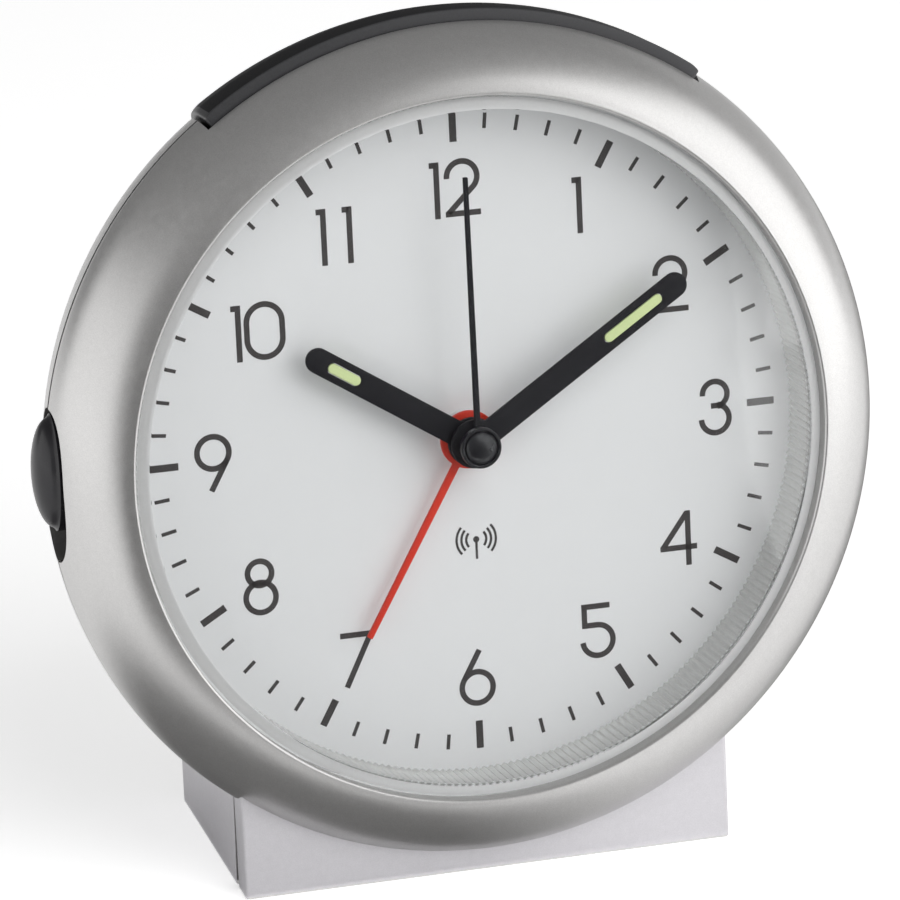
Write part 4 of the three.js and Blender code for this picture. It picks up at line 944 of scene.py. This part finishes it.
def second_hand_cap():
    rim_z = cap_low.z + CAP_RIM["height"]
    dome_r = cap_high.x - CAP_RIM["width"]
    groove_r = dome_r + CAP_GROOVE["width"]
    groove_z = rim_z - CAP_GROOVE["depth"]
    dome = fullness_arc(0, groove_z, dome_r, cap_high.z - groove_z, 2, CURVE_STEPS)
    profile = [(0, cap_low.z), (cap_high.x, cap_low.z), (cap_high.x, rim_z), (groove_r, rim_z), *dome]
    cap = soften(turned(profile, looped=False), CAP_RIM["round"])
    show(cap, "centre_cap", GLOSS, "second_hand", "gloss_black", "second_hand_cap")


# Snooze bar and slider

def snooze_bar():
    def profile_at(share):
        from_end = (1 - abs(share)) * BAR_HALF_ANGLE * RIM_R
        slope = max(1 - from_end / BAR_END["length"], 0.0)
        return bar_profile(0.0, 0.0, BAR_END["drop"] * slope ** 2)

    def on_top(middle, normal):
        return normal.z > normal.x ** 2 + BAR_TOP_FACING and middle.z < bar_high.z - BAR_ROUND

    bar = soften(swept(profile_at, pi / 2, BAR_HALF_ANGLE), BAR_ROUND)
    half = PLUNGER["half"]
    middle_z = SEAM_Z - PLUNGER["depth"]
    bar_r = bowl_radius(PLUNGER["depth"])
    plunger = block(
        (-half, bar_r - BAR_SINK - PLUNGER["length"], middle_z - half),
        (half, bar_r - BAR_SINK / 2, middle_z + half),
    )
    key = show(joined(bar, plunger), "snooze_key", BLACK, "snooze_bar", "black_plastic", "snooze_bar")
    # painted shade: the top of the bar gets the darker copy of its black
    refinish(key, BLACK_PAINTED_SHADE, on_top)


def alarm_slider():
    middle_y = dial_middle("alarm_slider").y
    base_x = track_low.x - SLIDER_LIFT
    shoulder_x = -RIM_R + SLIDER_SHOULDER
    edge_share = SLIDER_EDGE / SLIDER_HALF_WIDTH
    sections = [(base_x, 1.0), (shoulder_x + SLIDER_EDGE, 1.0), (shoulder_x, 1 - edge_share)]
    for step in range(1, CURVE_STEPS + 1):
        turn = step / CURVE_STEPS * pi / 2
        share = max(cos(turn), SLIDER_TIP_SHARE) * (1 - 2 * edge_share)
        sections.append((shoulder_x + (slider_low.x - shoulder_x) * sin(turn), share))
    rings = []
    for x, share in sections:
        section = oval(SLIDER_HALF_LENGTH * share, SLIDER_HALF_WIDTH * share, middle_y)
        rings.append([(x, y, z) for y, z in section])
    stem_z = SEAM_Z - STEM["depth"]
    stem = block(
        (base_x - STEM["overlap"], middle_y - STEM["half_length"], stem_z - STEM["half_width"]),
        (track_high.x - STEM["short"], middle_y + STEM["half_length"], stem_z + STEM["half_width"]),
    )
    knob = joined(solid(*skin(rings)), stem)
    show(knob, "slider_knob", GLOSS, "alarm_slider", "gloss_black", "alarm_slider")


def slider_track():
    outer_r = -track_low.x
    inner_r = outer_r - TRACK_WALL
    back, front = track_low.z, track_high.z
    middle = pi - asin(SLIDER_Y / inner_r)
    half_angle = asin((track_high.y - SLIDER_Y) / inner_r)
    profile = [(inner_r, back), (outer_r, back), (outer_r, front), (inner_r, front)]
    strip = swept(lambda share: profile, middle, half_angle, SMALL_STEPS)
    slot_z = SEAM_Z - STEM["depth"]
    reach = STEM["half_width"] + STEM["gap"]
    slot_low = (-FAR, SLIDER_Y - SLOT_HALF_LENGTH, slot_z - reach)
    slot = block(slot_low, (0, SLIDER_Y + SLOT_HALF_LENGTH, slot_z + reach))
    # painted shade: the floor of the slider's recess gets the darker copy of the black
    show(cut(strip, slot), "slider_floor", BLACK_PAINTED_SHADE, "housing", "black_plastic", "slider_track")


# Back

def alarm_knob():
    rim_r = KNOB_R - KNOB_CHAMFER
    dish_r, dish_depth = KNOB_R - KNOB_DISH["margin"], KNOB_DISH["depth"]
    profile = [
        (TINY, knob_high.z, 0),
        (rim_r, knob_high.z, KNOB_FLUTE_DEPTH),
        (KNOB_R, knob_high.z - KNOB_CHAMFER, KNOB_FLUTE_DEPTH),
        (KNOB_R, knob_low.z + KNOB_CHAMFER, KNOB_FLUTE_DEPTH),
        (rim_r, knob_low.z, KNOB_FLUTE_DEPTH / 2),
        (dish_r, knob_low.z, 0),
        (dish_r - dish_depth, knob_low.z + dish_depth, 0),
        (TINY, knob_low.z + dish_depth, 0),
    ]
    wave = [0.5 + 0.5 * cos(turn) for turn in turns(FLUTE_STEPS)]
    knob = fluted(profile, wave, KNOB_FLUTES, KNOB_AT)
    show(knob, "alarm_set_knob", BLACK, "alarm_knob", "black_plastic", "alarm_knob")


def buttons():
    dish_r, dish_depth = BUTTON_R * BUTTON_DISH["share"], BUTTON_DISH["depth"]
    flange_z = BACK_Z + WALL + BUTTON_FLANGE["gap"]
    stem_z = flange_z + BUTTON_FLANGE["height"]
    for name in BUTTONS:
        low, high = dial_box(name)
        middle = dial_middle(name)
        flange_r = high.x - middle.x
        profile = [
            *[(dish_r * share, low.z + dish_depth * (1 - share * share)) for share in BUTTON_DISH["steps"]],
            (BUTTON_R - BUTTON_EDGE, low.z),
            (BUTTON_R - BUTTON_EDGE / 3, low.z + BUTTON_EDGE / 3),
            (BUTTON_R, low.z + BUTTON_EDGE),
            (BUTTON_R, flange_z),
            (flange_r, flange_z),
            (flange_r, stem_z),
            (BUTTON_STEM_R, stem_z),
            (BUTTON_STEM_R, high.z),
            (0, high.z),
        ]
        cap = turned(profile, SMALL_STEPS, middle.xy, looped=False)
        show(cap, name + "_cap", BLACK, name, "black_plastic", name)


def battery_cover():
    outline = rounded_rectangle(0, COVER_Y, *COVER_HALF, COVER_CORNER - COVER_GAP)
    plate = soften(prism(outline, BACK_Z, cover_high.z), COVER_ROUND)
    rib_high = cover_high.z - COVER_RIB["sink"]
    ribs = [
        soften(prism(rib, cover_low.z, rib_high), COVER_RIB["round"]) for rib in bars(0, COVER_Y, COVER_RIB)
    ]
    show(joined(plate, *ribs), "cell_cover", SILVER, "battery_cover", "silver_paint", "battery_cover")


def housing_screws():
    head_r, thread_r = SCREW["head_r"], SCREW["thread_r"]
    for index, name in enumerate(SCREWS):
        low, high = dial_box(name)
        at = dial_middle(name).xy
        head_z = low.z + SCREW["head"]
        crown = [(head_r * share, low.z + SCREW["crown"] * share ** 3) for share in CROWN_STEPS]
        profile = [*crown, (head_r, head_z), (thread_r, head_z), (thread_r, high.z), (0, high.z)]
        screw = turned(profile, SMALL_STEPS, at, looped=False)
        for half_x, half_y in (CROSS_HALF, CROSS_HALF[::-1]):
            slot_low = (at.x - half_x, at.y - half_y, low.z - PAST)
            cut(screw, block(slot_low, (at.x + half_x, at.y + half_y, low.z + CROSS_DEPTH)))
        show(screw, f"shell_screw_{index + 1}", STEEL, "housing", "steel", name)


def battery_cell():
    middle = dial_middle("battery")
    length = cell_high.x - cell_low.x
    body = length - CELL["nub"]
    sleeve = soften(cylinder((cell_high.z - cell_low.z) / 2, 0, body), CELL["roll"])
    nub = soften(cylinder(CELL["nub_r"], body / 2, length), CELL["nub_round"])
    cell = joined(sleeve, nub)
    lay_along_x = Matrix.Rotation(pi / 2, 4, "Y")
    cell.data.transform(Matrix.Translation((cell_low.x, middle.y, middle.z)) @ lay_along_x)
    show(cell, "aa_cell", WRAP, "housing", "cell_wrap", "battery")

    def past_sleeve(middle, normal):
        return not cell_low.x + CELL["roll"] < middle.x < cell_low.x + body - CELL["roll"]

    refinish(cell, STEEL, past_sleeve)


def battery_spring():
    low, high = dial_box("battery_spring")
    middle = (low + high) / 2
    steps = SPRING_TURNS * COIL_STEPS
    along_x = Vector((1, 0, 0))
    rings = []
    for step in range(steps + 1):
        share = step / steps
        turn = share * SPRING_TURNS * 2 * pi
        r = SPRING_R + (SPRING_TIP_R - SPRING_R) * share
        x = low.x + SPRING_WIRE_R + share * (high.x - low.x - 2 * SPRING_WIRE_R)
        outward = Vector((0, cos(turn), sin(turn)))
        core = Vector((x, middle.y, middle.z)) + outward * r
        rings.append([
            core + SPRING_WIRE_R * (outward * cos(a) + along_x * sin(a)) for a in turns(CURVE_STEPS)
        ])
    show(solid(*skin(rings)), "cell_spring", STEEL, "housing", "steel", "battery_spring")


def finish_inner_nodes():
    """The pieces inside keep their CAD meshes and get the finish of their slot in the record."""
    for piece in frame["record"]["subparts"]:
        node = frame["nodes"][piece["node"]]
        if not node.hide_render:
            node.data.materials.clear()
            node.data.materials.append(INSIDE[piece["material_slot"]])
    bush = frame["nodes"]["movement_front_case"]  # it shows in the middle of the dial
    bush.data.materials[0] = DIAL_PAINT


# Studio

PAPER = display(244, 244, 244)
PAPER_GLOW = 0.52  # what the paper adds to the light that falls on it, so that it is white
ROOM_GREY = 0.2
FLOOR_HALF = 4.0
CARD_LIFT = 0.0003
CARD_GREY = (52, 51, 50)
# Corners of a card that lies before the clock and is bent up at its far edge
FRONT_CARD = [
    (-0.1, -0.1, CARD_LIFT),
    (0.075, -0.1, CARD_LIFT),
    (0.205, -0.52, CARD_LIFT),
    (-0.25, -0.52, CARD_LIFT),
    (0.205, -0.52, 0.15),
    (-0.25, -0.52, 0.15),
]
# Soft dark ovals on the floor, seen only in reflections: the ones under the clock and behind its right side are
# the clock's shadow on the floor, painted as dark sheets; the farthest darkens the mirrored floor farther behind
# on the right
OVAL_CARDS = {
    "under_shadow_card": {"at": (-0.038, -0.02), "half": (0.075, 0.052), "turn": 0, "fade": 0.6, "cover": 0.92},
    "side_shadow_card": {"at": (0.13, 0.115), "half": (0.22, 0.085), "turn": 45, "fade": 0.5, "cover": 0.95},
    "far_card": {"at": (0.34, 0.34), "half": (0.34, 0.2), "turn": 45, "fade": 0.5, "cover": 0.85},
}
TOP_PANEL = {"azimuth": 22.0, "elevation": 44.0, "away": 1.2, "size": 1.0, "radiance": 2.2}
CAMERA = {"azimuth": -17.011, "elevation": 21.725, "distance": 0.80222, "right": -0.001767, "up": -0.001847}
LENS = 249.7
SENSOR = 36.0
CLIP_START = 0.05
PANEL_LIFT = 0.005
# Panels: from one azimuth to another, how far away, how high, how bright
PANELS = {
    "right_panel": {"from": 21.0, "to": 92.0, "away": 0.7, "high": 0.64, "radiance": 1.65},
    "left_panel": {"from": -120.0, "to": -38.0, "away": 0.7, "high": 0.44, "radiance": 1.05},
    "rear_panel": {"from": 105.0, "to": 150.0, "away": 0.8, "high": 0.6, "radiance": 0.3},
}


def direction_of(azimuth, elevation):
    """Direction from the clock: azimuth 0 towards its front, positive to its right."""
    a, e = radians(azimuth), radians(elevation)
    return Vector((sin(a) * cos(e), -cos(a) * cos(e), sin(e)))


def camera():
    back = direction_of(CAMERA["azimuth"], CAMERA["elevation"])
    right = Vector((0, 0, 1)).cross(back).normalized()
    up = back.cross(right)
    place = DIAL_CENTRE + back * CAMERA["distance"] + right * CAMERA["right"] + up * CAMERA["up"]
    data = bpy.data.cameras.new("camera")
    data.sensor_width = SENSOR
    data.lens = LENS
    data.clip_start = CLIP_START
    made = placed("camera", data)
    made.matrix_world = Matrix.Translation(place) @ Matrix((right, up, back)).transposed().to_4x4()
    bpy.context.scene.camera = made


def area_light(name, place, facing, width, height, radiance):
    """A lit rectangle that shines back along the direction it faces from."""
    data = bpy.data.lights.new(name, "AREA")
    data.shape = "RECTANGLE"
    data.size = width
    data.size_y = height
    data.energy = radiance * pi * width * height
    made = placed(name, data)
    made.matrix_world = Matrix.Translation(place) @ facing.to_track_quat("Z", "Y").to_matrix().to_4x4()
    made.visible_camera = False
    return made


def panel(name, sizes):
    """A lit panel that stands on the floor and faces the clock."""
    half_angle = radians(sizes["to"] - sizes["from"]) / 2
    out = direction_of((sizes["from"] + sizes["to"]) / 2, 0)
    width = 2 * sizes["away"] * tan(half_angle)
    place = out * sizes["away"] + Vector((0, 0, sizes["high"] / 2 + PANEL_LIFT))
    area_light(name, place, out, width, sizes["high"], sizes["radiance"])


def top_panel():
    """A panel overhead that lights the dial and the floor without a reflection of its own."""
    out = direction_of(TOP_PANEL["azimuth"], TOP_PANEL["elevation"])
    size = TOP_PANEL["size"]
    made = area_light("top_panel", out * TOP_PANEL["away"], out, size, size, TOP_PANEL["radiance"])
    made.visible_glossy = False


def room():
    world = bpy.data.worlds.new("room")
    world.use_nodes = True
    feed(world.node_tree.nodes["Background"], {"Color": (ROOM_GREY, ROOM_GREY, ROOM_GREY, 1)})
    bpy.context.scene.world = world


def math_node(tree, operation, first, second):
    node = add_node(tree, "ShaderNodeMath", {0: first, 1: second})
    node.operation = operation
    return node.outputs["Value"]


def paper_material():
    """White paper that glows where it is seen directly, mirrored or through glass, and keeps shadows."""
    material = bpy.data.materials.new("paper")
    material.use_nodes = True
    tree = material.node_tree
    tree.nodes.clear()
    path = add_node(tree, "ShaderNodeLightPath").outputs
    seen = math_node(tree, "MAXIMUM", path["Is Camera Ray"], path["Is Glossy Ray"])
    seen = math_node(tree, "MAXIMUM", seen, path["Is Transmission Ray"])
    strength = math_node(tree, "MULTIPLY", seen, PAPER_GLOW)
    lit = add_node(tree, "ShaderNodeBsdfDiffuse", {"Color": (*PAPER, 1)})
    glow = add_node(tree, "ShaderNodeEmission", {"Strength": strength})
    both = add_node(tree, "ShaderNodeAddShader", {0: lit.outputs["BSDF"], 1: glow.outputs["Emission"]})
    add_node(tree, "ShaderNodeOutputMaterial", {"Surface": both.outputs["Shader"]})
    return material


def sheet(name, corners, faces, material):
    mesh = bpy.data.meshes.new(name)
    mesh.from_pydata(corners, [], faces)
    mesh.materials.append(material)
    made = placed(name, mesh)
    return made


def rectangle(name, half_x, half_y, material):
    corners = [(-half_x, -half_y, 0), (half_x, -half_y, 0), (half_x, half_y, 0), (-half_x, half_y, 0)]
    return sheet(name, corners, [[0, 1, 2, 3]], material)


def floor():
    rectangle("floor", FLOOR_HALF, FLOOR_HALF, paper_material())


def faded(material, sizes):
    """Lets a card fade out towards the edge of an oval, which gives the painted shadows on the floor a soft edge.
    """
    tree = material.node_tree
    half_x, half_y = sizes["half"]
    place = add_node(tree, "ShaderNodeTexCoord").outputs["Object"]
    scale = (1 / half_x, 1 / half_y, 1.0)
    mapping = add_node(tree, "ShaderNodeMapping", {"Vector": place, "Scale": scale})
    middle = add_node(tree, "ShaderNodeTexGradient", {"Vector": mapping.outputs["Vector"]})
    middle.gradient_type = "SPHERICAL"
    share = add_node(tree, "ShaderNodeMapRange", {
        "Value": middle.outputs["Fac"], "From Max": sizes["fade"], "To Max": sizes["cover"],
    })
    share.interpolation_type = "SMOOTHSTEP"
    clear = add_node(tree, "ShaderNodeBsdfTransparent")
    mix = add_node(tree, "ShaderNodeMixShader", {
        "Fac": share.outputs["Result"],
        1: clear.outputs["BSDF"],
        2: tree.nodes["Principled BSDF"].outputs["BSDF"],
    })
    feed(tree.nodes["Material Output"], {"Surface": mix.outputs["Shader"]})
    return material


def card_grey(name):
    return procedural(name, CARD_GREY, 0.9, grain=2.0, mottle=0.03, relief=0.01,
                      sockets={"Specular IOR Level": 0.0})


def cards():
    """Dark cards that the ring and the lens mirror, hidden from the camera and without a shadow; the ovals under
    and behind the clock are its painted shadow on the floor.
    """
    made = [sheet("front_card", FRONT_CARD, [[0, 1, 2, 3], [3, 2, 4, 5]], card_grey("front_card"))]
    for index, (name, sizes) in enumerate(OVAL_CARDS.items()):
        card = rectangle(name, *sizes["half"], faded(card_grey(name), sizes))
        card.location = (*sizes["at"], CARD_LIFT * (index + 2))
        card.rotation_euler.z = radians(sizes["turn"])
        made.append(card)
    for card in made:
        card.visible_camera = False
        card.visible_diffuse = False
        card.visible_shadow = False


camera()
room()
floor()
cards()
for panel_name, panel_sizes in PANELS.items():
    panel(panel_name, panel_sizes)
top_panel()
front_frame()
rear_housing()
seam_shade_strip()
crystal()
dial()
dial_print()
baton("hour_baton", "hour_hand", HOUR_BATON)
baton("minute_baton", "minute_hand", MINUTE_BATON)
needle("alarm_needle", "alarm_hand", ALARM_NEEDLE, HAND_RED, "hand_red")
needle("second_needle", "second_hand", SECOND_NEEDLE, HAND_BLACK, "hand_black")
second_hand_cap()
snooze_bar()
alarm_slider()
slider_track()
alarm_knob()
buttons()
battery_cover()
housing_screws()
battery_cell()
battery_spring()
finish_inner_nodes()

bpy.context.scene.view_settings.view_transform = "Standard"
